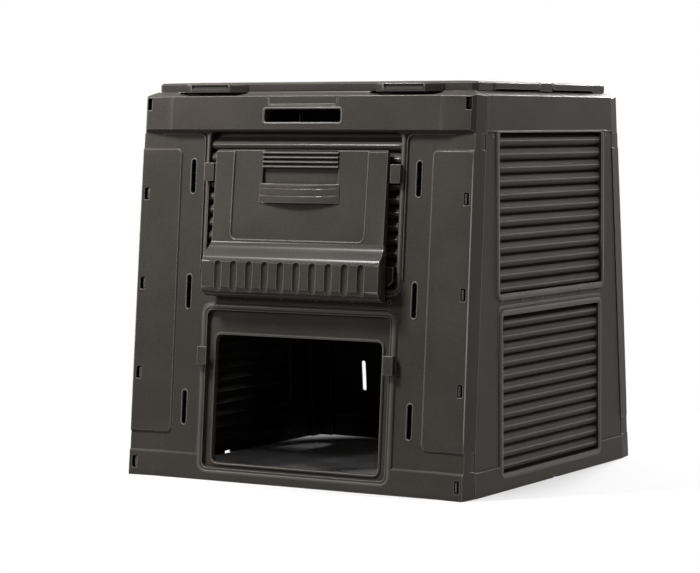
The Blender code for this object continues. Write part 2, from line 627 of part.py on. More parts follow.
def wall_form(skin):
    """The wall's relief as a solid. Taking the form at skin depth from the form at zero leaves the shell."""
    outer = skin == 0
    foot = -OVERRUN
    back = RETURN_DEPTH if outer else RETURN_DEPTH + OVERRUN
    bury = PANEL_DEPTH + SKIN + DRAFT + skin
    side = HALF_WIDTH - skin
    form = block((-side + RETURN_STEP, side - RETURN_STEP), (PANEL_DEPTH + skin, back + OVERRUN),
                 (foot, WALL_HEIGHT - SKIN - skin), "wall_form")
    unite(form, top_band(skin, back + OVERRUN / 2))
    plinth_foot = foot - OVERRUN / 2
    plinth = plate((-side, side), (plinth_foot, PLINTH_TOP - skin), [0] * 4, back + OVERRUN / 4, skin, DRAFT)
    unite(form, plinth)
    corner_radii = [CORNER_PANEL_RADIUS, 0, 0, CORNER_PANEL_RADIUS]
    panel = plate((CORNER_PANEL_INNER + skin, side), (CORNER_PANEL_BOTTOM + skin, CORNER_PANEL_TOP - skin),
                  corner_radii, back + OVERRUN / 4, skin, DRAFT)
    unite(form, gather(pair(panel)))
    upper_radii = [UPPER_FRAME_RADIUS, UPPER_FRAME_RADIUS, 0, 0]
    unite(form, plate((-UPPER_FRAME_HALF + skin, UPPER_FRAME_HALF - skin),
                      (UPPER_FRAME_BOTTOM + skin, BAND_BOTTOM + BAND_CHAMFER * 2), upper_radii, bury, skin, DRAFT))
    lower_radii = [0, 0, LOWER_FRAME_RADIUS, LOWER_FRAME_RADIUS]
    lower_foot = PLINTH_TOP / 2 if outer else foot - OVERRUN
    unite(form, plate((-LOWER_FRAME_HALF + skin, LOWER_FRAME_HALF - skin),
                      (lower_foot, LOWER_FRAME_TOP - skin), lower_radii, bury, skin, DRAFT))
    sunk = [
        ((VENT_WINDOW_HALF, VENT_WINDOW_BOTTOM, VENT_WINDOW_TOP), VENT_WINDOW_RADIUS, REVEAL_DEPTH),
        ((DOOR_RECESS_HALF, DOOR_RECESS_BOTTOM, DOOR_RECESS_TOP), DOOR_RECESS_RADIUS, DOOR_RECESS_DEPTH),
        ((HANDLE_HALF, HANDLE_BOTTOM, HANDLE_TOP), HANDLE_RADIUS, HANDLE_REVEAL),
    ]
    tools = []
    for (half, low, high), radius, floor in sunk:
        tools.append(plate((-half - skin, half + skin), (low - skin, high + skin), [radius + skin] * 4,
                           floor + skin, -OVERRUN))
    cut(form, gather(tools))
    lip_half = DOORWAY_HALF + DOORWAY_LIP - skin
    lip_low = DOORWAY_BOTTOM - DOORWAY_LIP + skin
    lip_high = DOORWAY_TOP + DOORWAY_LIP - skin
    unite(form, plate((-lip_half, lip_half), (lip_low, lip_high), [DOORWAY_RADIUS + DOORWAY_LIP] * 4,
                      bury, DOOR_RECESS_DEPTH - DOORWAY_LIP_PROUD + skin, DRAFT / 2))
    cut(form, plate((-DOORWAY_HALF - skin, DOORWAY_HALF + skin), (DOORWAY_BOTTOM - skin, DOORWAY_TOP + skin),
                    [DOORWAY_RADIUS + skin] * 4, DOOR_RECESS_DEPTH + DOORWAY_REVEAL + skin, -OVERRUN))
    cut(form, gather(pair(scoop(LID_GRIP_ACROSS, skin))))
    cut(form, gather(pair(corner_wedge(skin))), gather(pair(band_corner_wedge(skin))))
    if outer:
        trim_form(form, HALF_WIDTH, back)
    return form


def trim_form(form, reach, back):
    """Cuts the form off flat at its foot and at the back edge of its returns."""
    across = (-reach - OVERRUN, reach + OVERRUN)
    cut(form, block(across, (back, back + OVERRUN * 2), (-OVERRUN * 2, RIM_TOP + OVERRUN)))
    cut(form, block(across, (-OVERRUN * 2, back + OVERRUN), (-OVERRUN * 2, 0.0)))


def guide(bottom):
    """One L-shaped door guide, standing on the frame and reaching in over the door's lug."""
    front = -GUIDE_BACK - GUIDE_THICKNESS
    stem = GUIDE_OUTER - GUIDE_STEM
    root = SKIN / 2
    plan = ((GUIDE_INNER, front), (GUIDE_OUTER, front), (GUIDE_OUTER, root), (stem, root),
            (stem, -GUIDE_BACK), (GUIDE_INNER, -GUIDE_BACK))
    rings = [[(x, depth, z) for x, depth in plan] for z in (bottom, bottom + GUIDE_HEIGHT)]
    return loft(rings)


def wall_openings():
    """Every hole that goes right through the front or rear wall."""
    through = (-OVERRUN, RETURN_DEPTH)
    tools = [
        louvre_opening(VENT_WINDOW_HALF, FRONT_SLAT_TOP, FRONT_SLAT_PITCH, FRONT_SLAT_COUNT, through),
        plate((-DOORWAY_HALF, DOORWAY_HALF), (DOORWAY_BOTTOM, DOORWAY_TOP),
              [DOORWAY_RADIUS] * 4, through[1], through[0]),
        plate((-HANDLE_HALF, HANDLE_HALF), (HANDLE_BOTTOM, HANDLE_TOP),
              [HANDLE_RADIUS] * 4, through[1], through[0]),
    ]
    for bottom in evenly(SLOT_LOWEST, SLOT_PITCH, SLOT_COUNT):
        tools += pair(slot_cutter(SLOT_ACROSS, SLOT_WIDTH, bottom, SLOT_LENGTH, through))
    for across in evenly(DRAIN_PITCH / 2, DRAIN_PITCH, DRAIN_PAIRS):
        tools += pair(drain_cutter(across, through))
    for bottom in evenly(WINDOW_LOWEST, WINDOW_PITCH, WINDOW_COUNT):
        tools += pair(window_cutter(bottom))
    return gather(tools)


def thumb_pad_grooves():
    """The fine groove that frames the thumb pad above the handle slot."""
    front = -BAND_PROUD
    depth = (front - OVERRUN, front + THUMB_PAD_GROOVE)
    top = WALL_HEIGHT
    sides = pair(block((THUMB_PAD_HALF, THUMB_PAD_HALF + THUMB_PAD_GROOVE), depth, (THUMB_PAD_BOTTOM, top)))
    half = THUMB_PAD_HALF + THUMB_PAD_GROOVE / 2
    low = (THUMB_PAD_BOTTOM - THUMB_PAD_GROOVE, THUMB_PAD_BOTTOM + THUMB_PAD_GROOVE / 4)
    return sides, block((-half, half), depth, low)


def make_end_wall(name):
    wall = wall_form(0.0)
    wall.name = name
    cut(wall, wall_form(SKIN))
    cut(wall, wall_openings())
    sides, bottom = thumb_pad_grooves()
    cut(wall, gather(sides), bottom)
    unite(wall, slats(VENT_WINDOW_HALF, FRONT_SLAT_TOP, FRONT_SLAT_PITCH, FRONT_SLAT_COUNT, SLAT_SET_BACK))
    guides = pair(guide(LOWER_GUIDE_BOTTOM)) + pair(guide(UPPER_GUIDE_BOTTOM))
    unite(wall, gather(guides))
    turn_corners(wall)
    return wall


# Side walls

def side_band(skin, reach, back):
    low = SIDE_BAND_BOTTOM + skin
    profile = (
        (back, low), (skin + DRAFT, low), (skin, low + DRAFT), (skin, WALL_HEIGHT - skin),
        (skin + SHOULDER_INSET, RIM_TOP - skin), (back, RIM_TOP - skin),
    )
    return sweep(profile, (-reach, reach))


def side_form(skin):
    """The side wall's relief as a solid, open at both ends where the end walls' returns close it."""
    outer = skin == 0
    foot = -OVERRUN
    back = RETURN_DEPTH if outer else RETURN_DEPTH + OVERRUN
    reach = SEAM + OVERRUN
    bury = SIDE_PANEL_DEPTH + SKIN + DRAFT + skin
    form = block((-reach, reach), (SIDE_PANEL_DEPTH + skin, back + OVERRUN),
                 (foot, WALL_HEIGHT - SKIN - skin), "side_form")
    unite(form, side_band(skin, reach + OVERRUN / 2, back + OVERRUN / 2))
    plinth_reach = reach + OVERRUN / 4
    unite(form, plate((-plinth_reach, plinth_reach), (foot - OVERRUN / 2, SIDE_PLINTH_TOP - skin), [0] * 4,
                      back + OVERRUN / 4, skin))
    radius = SIDE_FRAME_RADIUS
    upper = plate((-SIDE_UPPER_FRAME_HALF + skin, SIDE_UPPER_FRAME_HALF - skin),
                  (SIDE_UPPER_FRAME_BOTTOM + skin, SIDE_BAND_BOTTOM + BAND_CHAMFER),
                  [radius, radius, 0, 0], bury, skin + FIT_GAP / 2, DRAFT)
    lower = plate((-SIDE_LOWER_FRAME_HALF + skin, SIDE_LOWER_FRAME_HALF - skin),
                  (SIDE_PLINTH_TOP / 2, SIDE_LOWER_FRAME_TOP - skin),
                  [0, 0, radius, radius], bury, skin + FIT_GAP / 2, DRAFT)
    unite(form, gather([upper, lower]))
    tools = []
    for half, low, high, top, pitch in side_windows():
        tools.append(plate((-half - skin, half + skin), (low - skin, high + skin), [SIDE_WINDOW_RADIUS + skin] * 4,
                           REVEAL_DEPTH + skin, -OVERRUN))
    cut(form, gather(tools))
    if outer:
        trim_form(form, reach + OVERRUN, back)
        ends = (SEAM, reach + OVERRUN * 2)
        cut(form, gather(pair(block(ends, (-OVERRUN, back + OVERRUN), (-OVERRUN, RIM_TOP + OVERRUN)))))
    return form


def side_windows():
    """Half width, bottom and top of each louvre window, and the top and pitch of its slats."""
    return (
        (SIDE_UPPER_WINDOW_HALF, SIDE_UPPER_WINDOW_BOTTOM, SIDE_UPPER_WINDOW_TOP,
         SIDE_UPPER_SLAT_TOP, SIDE_UPPER_SLAT_PITCH),
        (SIDE_LOWER_WINDOW_HALF, SIDE_LOWER_WINDOW_BOTTOM, SIDE_LOWER_WINDOW_TOP,
         SIDE_LOWER_SLAT_TOP, SIDE_LOWER_SLAT_PITCH),
    )


def side_openings():
    through = (-OVERRUN, RETURN_DEPTH)
    tools = []
    for half, low, high, top, pitch in side_windows():
        tools.append(louvre_opening(half, top, pitch, SIDE_SLAT_COUNT, through))
    first = -SIDE_DRAIN_PITCH * (SIDE_DRAIN_COUNT - 1) / 2
    for across in evenly(first, SIDE_DRAIN_PITCH, SIDE_DRAIN_COUNT):
        tools.append(drain_cutter(across, through))
    notch = (FOOT_NOTCH_ACROSS - FOOT_NOTCH_WIDTH / 2, FOOT_NOTCH_ACROSS + FOOT_NOTCH_WIDTH / 2)
    tools.append(block(notch, (-OVERRUN, SKIN + OVERRUN), (-OVERRUN, FOOT_NOTCH_HEIGHT)))
    return gather(tools)


def tongue_flange():
    """The edge that tucks behind the end wall's return, with its lip and the five snap hooks."""
    flange_out = RETURN_STEP + SKIN + FIT_GAP
    front_out = CORNER_DRAW + SKIN + FIT_GAP
    flange_in = front_out + SKIN
    lip_front = HALF_DEPTH - PANEL_DEPTH - SKIN - FIT_GAP
    lip_back = lip_front - SKIN
    height = (0.0, TONGUE_FLANGE_TOP)
    overlap = SEAM - JOGGLE
    plan = (
        (overlap, SIDE_PANEL_DEPTH + SKIN / 2), (SEAM - FIT_GAP, SIDE_PANEL_DEPTH + SKIN / 2),
        (SEAM - FIT_GAP, flange_out), (lip_front, front_out), (lip_front, flange_in + LIP_REACH),
        (lip_back, flange_in + LIP_REACH), (lip_back, flange_in), (overlap, flange_in),
    )
    flange = loft([[(u, depth, z) for u, depth in plan] for z in height])
    centre = HALF_WIDTH - WINDOW_ACROSS
    inner = centre + WINDOW_WIDTH / 2 - HOOK_CLEARANCE
    hooks = []
    for bottom in evenly(WINDOW_LOWEST, WINDOW_PITCH, WINDOW_COUNT):
        low = bottom + HOOK_CLEARANCE
        high = bottom + WINDOW_HEIGHT - HOOK_CLEARANCE
        hooks.append(block((lip_back + SKIN / 2, HALF_DEPTH + HOOK_REACH), (inner - HOOK_WIDTH, inner),
                           (low, high)))
    unite(flange, gather(hooks))
    return flange


def make_side_wall(name):
    wall = side_form(0.0)
    wall.name = name
    cut(wall, side_form(SKIN))
    cut(wall, side_openings())
    for half, low, high, top, pitch in side_windows():
        unite(wall, slats(half, top, pitch, SIDE_SLAT_COUNT, SLAT_SET_BACK))
    unite(wall, *pair(tongue_flange()))
    return wall


# Sliding doors

def door_profile(skin):
    """The door in section, from its top edge over the flat face and down round the belly."""
    top = DOOR_TOP - skin
    bottom = DOOR_BOTTOM + skin
    back = DOOR_BACK if skin == 0 else -OVERRUN
    face = DOOR_TOP_PROUD - skin
    crease = DOOR_CREASE_PROUD - skin
    belly = DOOR_BELLY_PROUD - skin
    tip = DOOR_EDGE_ROUND
    points = [(back, top), (face - tip, top), (face, top - tip), (crease, DOOR_CREASE_HEIGHT)]
    for step in range(1, DOOR_ROUND_STEPS + 1):
        share = step / DOOR_ROUND_STEPS
        rise = (1 - math.cos(share * math.pi)) / 2
        points.append((crease + (belly - crease) * rise,
                       DOOR_CREASE_HEIGHT + (DOOR_BELLY_TOP - DOOR_CREASE_HEIGHT) * share))
    points.append((belly, DOOR_BELLY_BOTTOM))
    for step in range(1, DOOR_ROUND_STEPS + 1):
        turn = math.pi / 2 * step / DOOR_ROUND_STEPS
        points.append((DOOR_FOOT_PROUD + (belly - DOOR_FOOT_PROUD) * math.cos(turn),
                       DOOR_BELLY_BOTTOM - (DOOR_BELLY_BOTTOM - bottom) * math.sin(turn)))
    points.append((back, bottom))
    return points


def door_form(skin):
    profile = [(-proud, height) for proud, height in door_profile(skin)]
    reach = DOOR_BELLY_HALF - skin
    form = sweep(profile, (-reach, reach), "door_form")
    edge = DOOR_HALF - skin
    flare_low = (DOOR_BELLY_TOP + DOOR_CREASE_HEIGHT) / 2
    corner = [(edge - DOOR_CORNER_RADIUS * (1 - math.cos(turn)),
               DOOR_TOP - skin - DOOR_CORNER_RADIUS * (1 - math.sin(turn)))
              for turn in (math.radians(90 * step / CORNER_STEPS) for step in range(CORNER_STEPS))]
    trim = [(edge - DOOR_CORNER_RADIUS, DOOR_TOP + OVERRUN)] + corner[::-1] + [
        (edge, DOOR_CREASE_HEIGHT), (reach, flare_low),
        (reach + OVERRUN, flare_low), (reach + OVERRUN, DOOR_TOP + OVERRUN)]
    side_trim = loft([[(x, depth, z) for x, z in trim] for depth in (-DOOR_BELLY_PROUD - OVERRUN, OVERRUN * 2)])
    cut(form, gather(pair(side_trim)))
    rebate_front = GUIDE_BACK + GUIDE_THICKNESS + DOOR_GUIDE_CLEARANCE + skin
    rebate = block((DOOR_HALF - skin, DOOR_BELLY_HALF + OVERRUN), (-rebate_front, OVERRUN * 2),
                   (DOOR_BOTTOM - OVERRUN, DOOR_TOP + OVERRUN))
    cut(form, gather(pair(rebate)))
    first = -FLUTE_PITCH * (FLUTE_COUNT - 1) / 2
    flutes = [flute(across, skin) for across in evenly(first, FLUTE_PITCH, FLUTE_COUNT)]
    cut(form, gather(flutes))
    cut(form, sunk_face(skin))
    grip_depth = -face_proud(GRIP_TOP) + GRIP_DEPTH + skin
    cut(form, plate((-GRIP_HALF - skin, GRIP_HALF + skin), (GRIP_BOTTOM - skin, GRIP_TOP + skin),
                    [DOOR_EDGE_ROUND] * 4, grip_depth, -DOOR_BELLY_PROUD))
    return form


def face_proud(height):
    """How proud the door's flat face stands at a height."""
    share = (DOOR_TOP - height) / (DOOR_TOP - DOOR_CREASE_HEIGHT)
    return DOOR_TOP_PROUD + (DOOR_CREASE_PROUD - DOOR_TOP_PROUD) * share


def sunk_face(skin):
    """What is cut away to sink the door's flat face a little inside a raised border, open at the top."""
    half = DOOR_FACE_HALF + skin
    radius = DOOR_FACE_RADIUS + skin
    shape = outline((-half, half), (DOOR_FACE_BOTTOM - skin, DOOR_TOP + OVERRUN), [radius, radius, 0, 0])
    floor = [(x, DOOR_FACE_SUNK + skin - face_proud(z), z) for x, z in shape]
    front = [(x, -DOOR_BELLY_PROUD, z) for x, z in shape]
    return loft([floor, front])


def flute(across, skin):
    """A round-ended groove down the belly."""
    bm = bmesh.new()
    radius = FLUTE_RADIUS + skin
    bmesh.ops.create_uvsphere(bm, u_segments=FLUTE_SIDES, v_segments=FLUTE_ROUND_STEPS,
                              radius=radius)
    drop = FLUTE_TOP - DOOR_BOTTOM + OVERRUN
    for vert in bm.verts:
        if vert.co.z < -radius / 4:
            vert.co.z -= drop
    centre_depth = -DOOR_BELLY_PROUD - FLUTE_RADIUS + FLUTE_SUNK
    bmesh.ops.translate(bm, vec=(across, centre_depth, FLUTE_TOP - FLUTE_RADIUS), verts=bm.verts)
    return object_from(bm, "flute")


def lug(bottom):
    """A guide lug at the door's edge, which runs behind the wall's guides. Its outer lower corner is cut."""
    back = -(GUIDE_BACK - LUG_FRONT_GAP - LUG_THICKNESS)
    front = -(GUIDE_BACK - LUG_FRONT_GAP)
    inner = DOOR_HALF - DOOR_SKIN / 2
    shape = ((inner, bottom), (LUG_OUTER - LUG_CHAMFER, bottom), (LUG_OUTER, bottom + LUG_CHAMFER),
             (LUG_OUTER, bottom + LUG_HEIGHT), (inner, bottom + LUG_HEIGHT))
    return loft([[(x, depth, z) for x, z in shape] for depth in (back, front)])


def grip_rib(index):
    top = GRIP_TOP - GRIP_RIB_HEIGHT / 2 - GRIP_RIB_PITCH * index
    floor = -face_proud(GRIP_TOP) + GRIP_DEPTH + DOOR_SKIN / 2
    crest = floor - DOOR_SKIN / 2 - GRIP_RIB_PROUD
    profile = ((floor, top), (crest + GRIP_RIB_HEIGHT / 3, top), (crest, top - GRIP_RIB_HEIGHT / 3),
               (crest, top - GRIP_RIB_HEIGHT * 2 / 3), (floor, top - GRIP_RIB_HEIGHT))
    reach = GRIP_HALF + DOOR_SKIN / 2
    return sweep(profile, (-reach, reach))


def pull_ring(half, height, proud):
    """The pull lip in plan: an arc standing out from the sunk face, with a small step at each end."""
    base = DOOR_FACE_SUNK - face_proud(height)
    bulge = proud - PULL_END_PROUD
    arc = []
    for step in range(PULL_STEPS + 1):
        share = 2 * step / PULL_STEPS - 1
        arc.append((half * share, base - PULL_END_PROUD - bulge * (1 - share ** 2), height))
    return [(-half, base + DOOR_SKIN / 2, height)] + arc + [(half, base + DOOR_SKIN / 2, height)]


def pull_lip():
    """The lip that fingers pull on. Its underside slopes back to the face, so it meets it in an arc."""
    rings = []
    for share in PULL_UNDER_SHARES:
        half = PULL_HALF * math.sqrt(1 - share)
        rings.append(pull_ring(half, PULL_LIP + (PULL_BOTTOM - PULL_LIP) * share, PULL_PROUD * (1 - share)))
    rings.append(pull_ring(PULL_HALF, PULL_LIP, PULL_PROUD))
    for share in PULL_GROOVE_SHARES:
        height = PULL_LIP + (PULL_TOP - PULL_LIP) * share
        rings.append(pull_ring(PULL_HALF, height - PULL_GROOVE, PULL_PROUD))
        rings.append(pull_ring(PULL_HALF, height, PULL_PROUD - PULL_GROOVE))
        rings.append(pull_ring(PULL_HALF, height + PULL_GROOVE, PULL_PROUD))
    rings.append(pull_ring(PULL_HALF, PULL_TOP - DRAFT, PULL_PROUD))
    rings.append(pull_ring(PULL_HALF - DRAFT, PULL_TOP, PULL_PROUD - DRAFT))
    return loft(rings)


def make_door(name):
    door = door_form(0.0)
    door.name = name
    cut(door, door_form(DOOR_SKIN))
    unite(door, gather([grip_rib(index) for index in range(GRIP_RIB_COUNT)]))
    unite(door, pull_lip())
    top_lug = UPPER_GUIDE_BOTTOM + (GUIDE_HEIGHT - LUG_HEIGHT) / 2
    lugs = pair(lug(LOWER_LUG_BOTTOM)) + pair(lug(top_lug))
    unite(door, gather(lugs))
    return door


# Lid

def lid_ring(height, inset, hinge_inset=0.0):
    """The flap in plan, front edge at -Y, with its cut corners and its wider middle."""
    front = -LID_HALF_DEPTH + inset
    block_end = -LID_HALF_DEPTH + LID_BLOCK_LENGTH
    right = [
        (LID_FRONT_HALF_WIDTH - inset, front), (LID_CORNER_HALF_WIDTH - inset, front + LID_CORNER_CUT),
        (LID_CORNER_HALF_WIDTH - inset, block_end), (LID_HALF_WIDTH - inset, block_end + LID_STEP_LENGTH),
        (LID_HALF_WIDTH - inset, -HINGE_ACROSS - hinge_inset),
    ]
    left = [(-x, y) for x, y in reversed(right)]
    return [(x, y, height) for x, y in right + left]


def flap_form(skin):
    """The flap's outer shape, crowned a little so that rain runs off, with a shallow panel sunk in it."""
    outer = skin == 0
    foot = LID_BOTTOM if outer else LID_BOTTOM - OVERRUN
    crown_inset = skin + LID_CROWN_INSET
    open_end = 0.0 if outer else -FIT_GAP
    rings = [
        lid_ring(foot, skin, open_end), lid_ring(LID_TOP - LID_EDGE_ROUND - skin, skin, open_end),
        lid_ring(LID_TOP - skin, skin + LID_EDGE_ROUND, open_end),
        lid_ring(LID_TOP + LID_CROWN - skin, crown_inset, LID_CROWN_INSET / 2),
    ]
    form = loft(rings, "flap_form")
    half = LID_FRONT_HALF_WIDTH - LID_PANEL_BORDER * 2
    front = -LID_HALF_DEPTH + LID_PANEL_BORDER * 2
    back = -HINGE_ACROSS - LID_PANEL_BORDER
    plan = outline((-half, half), (front, back), [LID_PANEL_RADIUS] * 4)
    floor = LID_TOP + LID_CROWN - LID_PANEL_SUNK - skin
    cut(form, loft([[(x, y, z) for x, y in plan] for z in (floor, LID_TOP + OVERRUN)]))
    return form


def lid_grip(centre, skin):
    """A finger grip on the flap's front edge: wide at its root, narrower at its face."""
    root = -LID_HALF_DEPTH + SKIN / 2 if skin == 0 else -LID_HALF_DEPTH + SKIN + OVERRUN / 4
    face = -LID_HALF_DEPTH - LID_GRIP_REACH + skin
    low = LID_BOTTOM - LID_GRIP_DROP if skin == 0 else LID_BOTTOM - OVERRUN
    high = LID_TOP - LID_GRIP_TOP_DROP - skin
    rings = []
    for height, inset in ((low, 0.0), (high - DRAFT, 0.0), (high, DRAFT)):
        shrink = skin + inset
        plan = ((centre - LID_GRIP_ROOT_HALF + shrink, root), (centre - LID_GRIP_FACE_HALF + shrink, face + inset),
                (centre + LID_GRIP_FACE_HALF - shrink, face + inset), (centre + LID_GRIP_ROOT_HALF - shrink, root))
        rings.append([(x, y, height) for x, y in plan])
    return loft(rings)


def grip_groove(centre):
    """The shallow field in the grip's face."""
    face = -LID_HALF_DEPTH - LID_GRIP_REACH
    half = LID_GRIP_FACE_HALF - LID_GRIP_GROOVE_BORDER
    low = LID_BOTTOM + LID_GRIP_GROOVE_BORDER
    high = LID_TOP - LID_GRIP_GROOVE_BORDER
    return block((centre - half, centre + half), (face - OVERRUN, face + SKIN / 2), (low, high))


def ear_centres():
    return evenly(-EAR_PITCH * (EAR_COUNT - 1) / 2, EAR_PITCH, EAR_COUNT)


def knuckle_spans():
    """Where the flap's knuckles lie between the ears of the bar."""
    reach = EAR_WIDTH / 2 + HINGE_SIDE_GAP + FIT_GAP
    ears = ear_centres()
    return [(left + reach, right - reach) for left, right in zip(ears, ears[1:])]


def bore(half_length):
    return cylinder_along((-half_length, half_length), -HINGE_ACROSS, HINGE_HEIGHT, ROD_RADIUS + FIT_GAP)


def make_flap(name):
    flap = flap_form(0.0)
    flap.name = name
    unite(flap, gather(pair(lid_grip(LID_GRIP_ACROSS, 0.0))))
    cut(flap, flap_form(SKIN))
    cut(flap, gather(pair(lid_grip(LID_GRIP_ACROSS, SKIN))))
    cut(flap, gather(pair(grip_groove(LID_GRIP_ACROSS))))
    lifted_side = block((LID_CORNER_HALF_WIDTH - OVERRUN / 2, LID_HALF_WIDTH + OVERRUN),
                        (-LID_HALF_DEPTH + LID_BLOCK_LENGTH + LID_STEP_LENGTH, OVERRUN),
                        (LID_BOTTOM - OVERRUN, LID_BOTTOM + LID_SIDE_LIFT))
    cut(flap, gather(pair(lifted_side)))
    notch_reach = KNUCKLE_RADIUS + HINGE_SIDE_GAP
    notches = []
    for centre in ear_centres():
        half = EAR_WIDTH / 2 + HINGE_SIDE_GAP
        notches.append(block((centre - half, centre + half),
                             (-HINGE_ACROSS - notch_reach, -HINGE_ACROSS + OVERRUN),
                             (LID_BOTTOM - OVERRUN, LID_TOP + OVERRUN)))
    cut(flap, gather(notches))
    rolls = [cylinder_along(span, -HINGE_ACROSS, HINGE_HEIGHT, KNUCKLE_RADIUS) for span in knuckle_spans()]
    cheek_span = (LID_HALF_WIDTH - SKIN - FIT_GAP, LID_HALF_WIDTH - FIT_GAP)
    cheek = cylinder_along(cheek_span, -HINGE_ACROSS, HINGE_HEIGHT, KNUCKLE_RADIUS)
    unite(flap, gather(rolls), gather(pair(cheek)))
    cut(flap, bore(ear_centres()[-1]))
    return flap


def make_bar(name):
    """The cross bar that both flaps hinge on, open below, with a keel between the side walls' rims."""
    profile = (
        (-BAR_HALF_WIDTH, LID_BOTTOM - BAR_KEEL_DEPTH), (-BAR_HALF_WIDTH, LID_TOP - BAR_CHAMFER),
        (-BAR_HALF_WIDTH + BAR_CHAMFER, LID_TOP), (BAR_HALF_WIDTH - BAR_CHAMFER, LID_TOP),
        (BAR_HALF_WIDTH, LID_TOP - BAR_CHAMFER), (BAR_HALF_WIDTH, LID_BOTTOM - BAR_KEEL_DEPTH),
    )
    bar = sweep(profile, (-LID_HALF_WIDTH, LID_HALF_WIDTH), name)
    keel_half = HALF_WIDTH - RETURN_DEPTH - WALL_BATTER - BAR_KEEL_GAP
    end = block((keel_half, LID_HALF_WIDTH + OVERRUN), (-BAR_HALF_WIDTH - OVERRUN, BAR_HALF_WIDTH + OVERRUN),
                (LID_BOTTOM - BAR_KEEL_DEPTH - OVERRUN, LID_BOTTOM))
    cut(bar, gather(pair(end)))
    hollow = LID_HALF_WIDTH - SKIN
    cut(bar, block((-hollow, hollow), (-BAR_HALF_WIDTH + SKIN, BAR_HALF_WIDTH - SKIN),
                   (LID_BOTTOM - BAR_KEEL_DEPTH - OVERRUN, LID_TOP - SKIN)))
    ears = []
    for centre in ear_centres():
        span = (centre - EAR_WIDTH / 2, centre + EAR_WIDTH / 2)
        ear = cylinder_along(span, -HINGE_ACROSS, HINGE_HEIGHT, KNUCKLE_RADIUS)
        web = KNUCKLE_RADIUS * EAR_WEB_SHARE
        inner_span = (span[0] + HINGE_SIDE_GAP / 2, span[1] - HINGE_SIDE_GAP / 2)
        unite(ear, block(inner_span, (-HINGE_ACROSS, -BAR_HALF_WIDTH + SKIN / 2),
                         (HINGE_HEIGHT - web, HINGE_HEIGHT + web)))
        cut(ear, bore(LID_HALF_WIDTH))
        ears.append(ear)
    front_ears = gather(ears)
    rear_ears = turned_copy(front_ears, "rear_ears")
    unite(bar, front_ears, rear_ears)
    return bar


def make_rod(name):
    half = ear_centres()[-1] + EAR_WIDTH / 2 + ROD_OVERHANG
    rod = cylinder_along((-half, half), -HINGE_ACROSS, HINGE_HEIGHT, ROD_RADIUS)
    rod.name = name
    return rod


def place_on_axis(piece, point):
    """Puts the object's origin on its joint, with the mesh where it was."""
    piece.data.transform(Matrix.Translation([-value for value in point]))
    piece.location = point


def stand_on_origin(pieces):
    """Moves the assembly so that the origin is under the middle of its overall box."""
    for piece in pieces:
        piece.location.y -= ORIGIN_SHIFT


def turn_corners(piece):
    """Turns the outer strips of an end wall a little, so that its corners stand proud and its seams stay."""
    bm = bmesh.new()
    bm.from_mesh(piece.data)
    for across in (-CORNER_TURN, CORNER_TURN):
        everything = bm.verts[:] + bm.edges[:] + bm.faces[:]
        bmesh.ops.bisect_plane(bm, geom=everything, plane_co=(across, 0, 0), plane_no=(1, 0, 0))
    reach = HALF_WIDTH - CORNER_DRAW - CORNER_TURN
    for vert in bm.verts:
        share = max((abs(vert.co.x) - CORNER_TURN) / reach, 0.0)
        vert.co.y -= CORNER_PROUD * share * (1 - vert.co.y / RETURN_DEPTH)
    bm.to_mesh(piece.data)
    bm.free()


def lean_end_wall(piece):
    """Leans a flat-drawn end wall or door into place at the front, and draws its corners in."""
    for vert in piece.data.vertices:
        share = min(max((abs(vert.co.x) - BATTER_START) / LEAN_BLEND_WIDTH, 0.0), 1.0)
        vert.co.x -= math.copysign(BATTER_SLOPE * vert.co.z * share, vert.co.x)
        vert.co.y += LEAN_SLOPE * vert.co.z - HALF_DEPTH
    piece.data.update()


def lean_side_wall(piece):
    """Turns a flat-drawn side wall to face +X and draws its two edges in with the end walls."""
    for vert in piece.data.vertices:
        across, depth, height = vert.co
        share = min(max((abs(across) - DRAW_IN_START) / LEAN_BLEND_WIDTH, 0.0), 1.0)
        vert.co.x = HALF_WIDTH - depth - BATTER_SLOPE * height
        vert.co.y = across - math.copysign(LEAN_SLOPE * height * share, across)
    piece.data.update()


def turned_copy(piece, name):
    """The same moulding used again on the opposite side."""
    copy = bpy.data.objects.new(name, piece.data.copy())
    copy.data.transform(Matrix.Rotation(math.pi, 4, "Z"))
    bpy.context.scene.collection.objects.link(copy)
    return copy


def finish(piece, material):
    piece.data.materials.clear()
    piece.data.materials.append(material)
    piece.data.shade_smooth()
    piece.data.set_sharp_from_angle(angle=SHARP_ANGLE)


clear_scene()
plastic = make_material("moulded_plastic", PLASTIC, PLASTIC_ROUGHNESS, 0.0)
metal = make_material("hinge_steel", ROD_METAL, ROD_ROUGHNESS, 1.0)

front_wall = make_end_wall("front_wall")
lean_end_wall(front_wall)
rear_wall = turned_copy(front_wall, "rear_wall")
right_wall = make_side_wall("right_wall")
lean_side_wall(right_wall)
left_wall = turned_copy(right_wall, "left_wall")

# The front door is drawn raised, as it stands in use, and the rear door is let down
front_door = make_door("front_door")
lean_end_wall(front_door)
rear_door = turned_copy(front_door, "rear_door")
rear_door.data.transform(Matrix.Translation((0, LEAN_SLOPE * DOOR_TRAVEL, -DOOR_TRAVEL)))

front_lid = make_flap("front_lid")
rear_lid = turned_copy(front_lid, "rear_lid")
place_on_axis(front_lid, (0, -HINGE_ACROSS, HINGE_HEIGHT))
place_on_axis(rear_lid, (0, HINGE_ACROSS, HINGE_HEIGHT))
lid_bar = make_bar("lid_bar")
front_hinge_rod = make_rod("front_hinge_rod")
rear_hinge_rod = turned_copy(front_hinge_rod, "rear_hinge_rod")

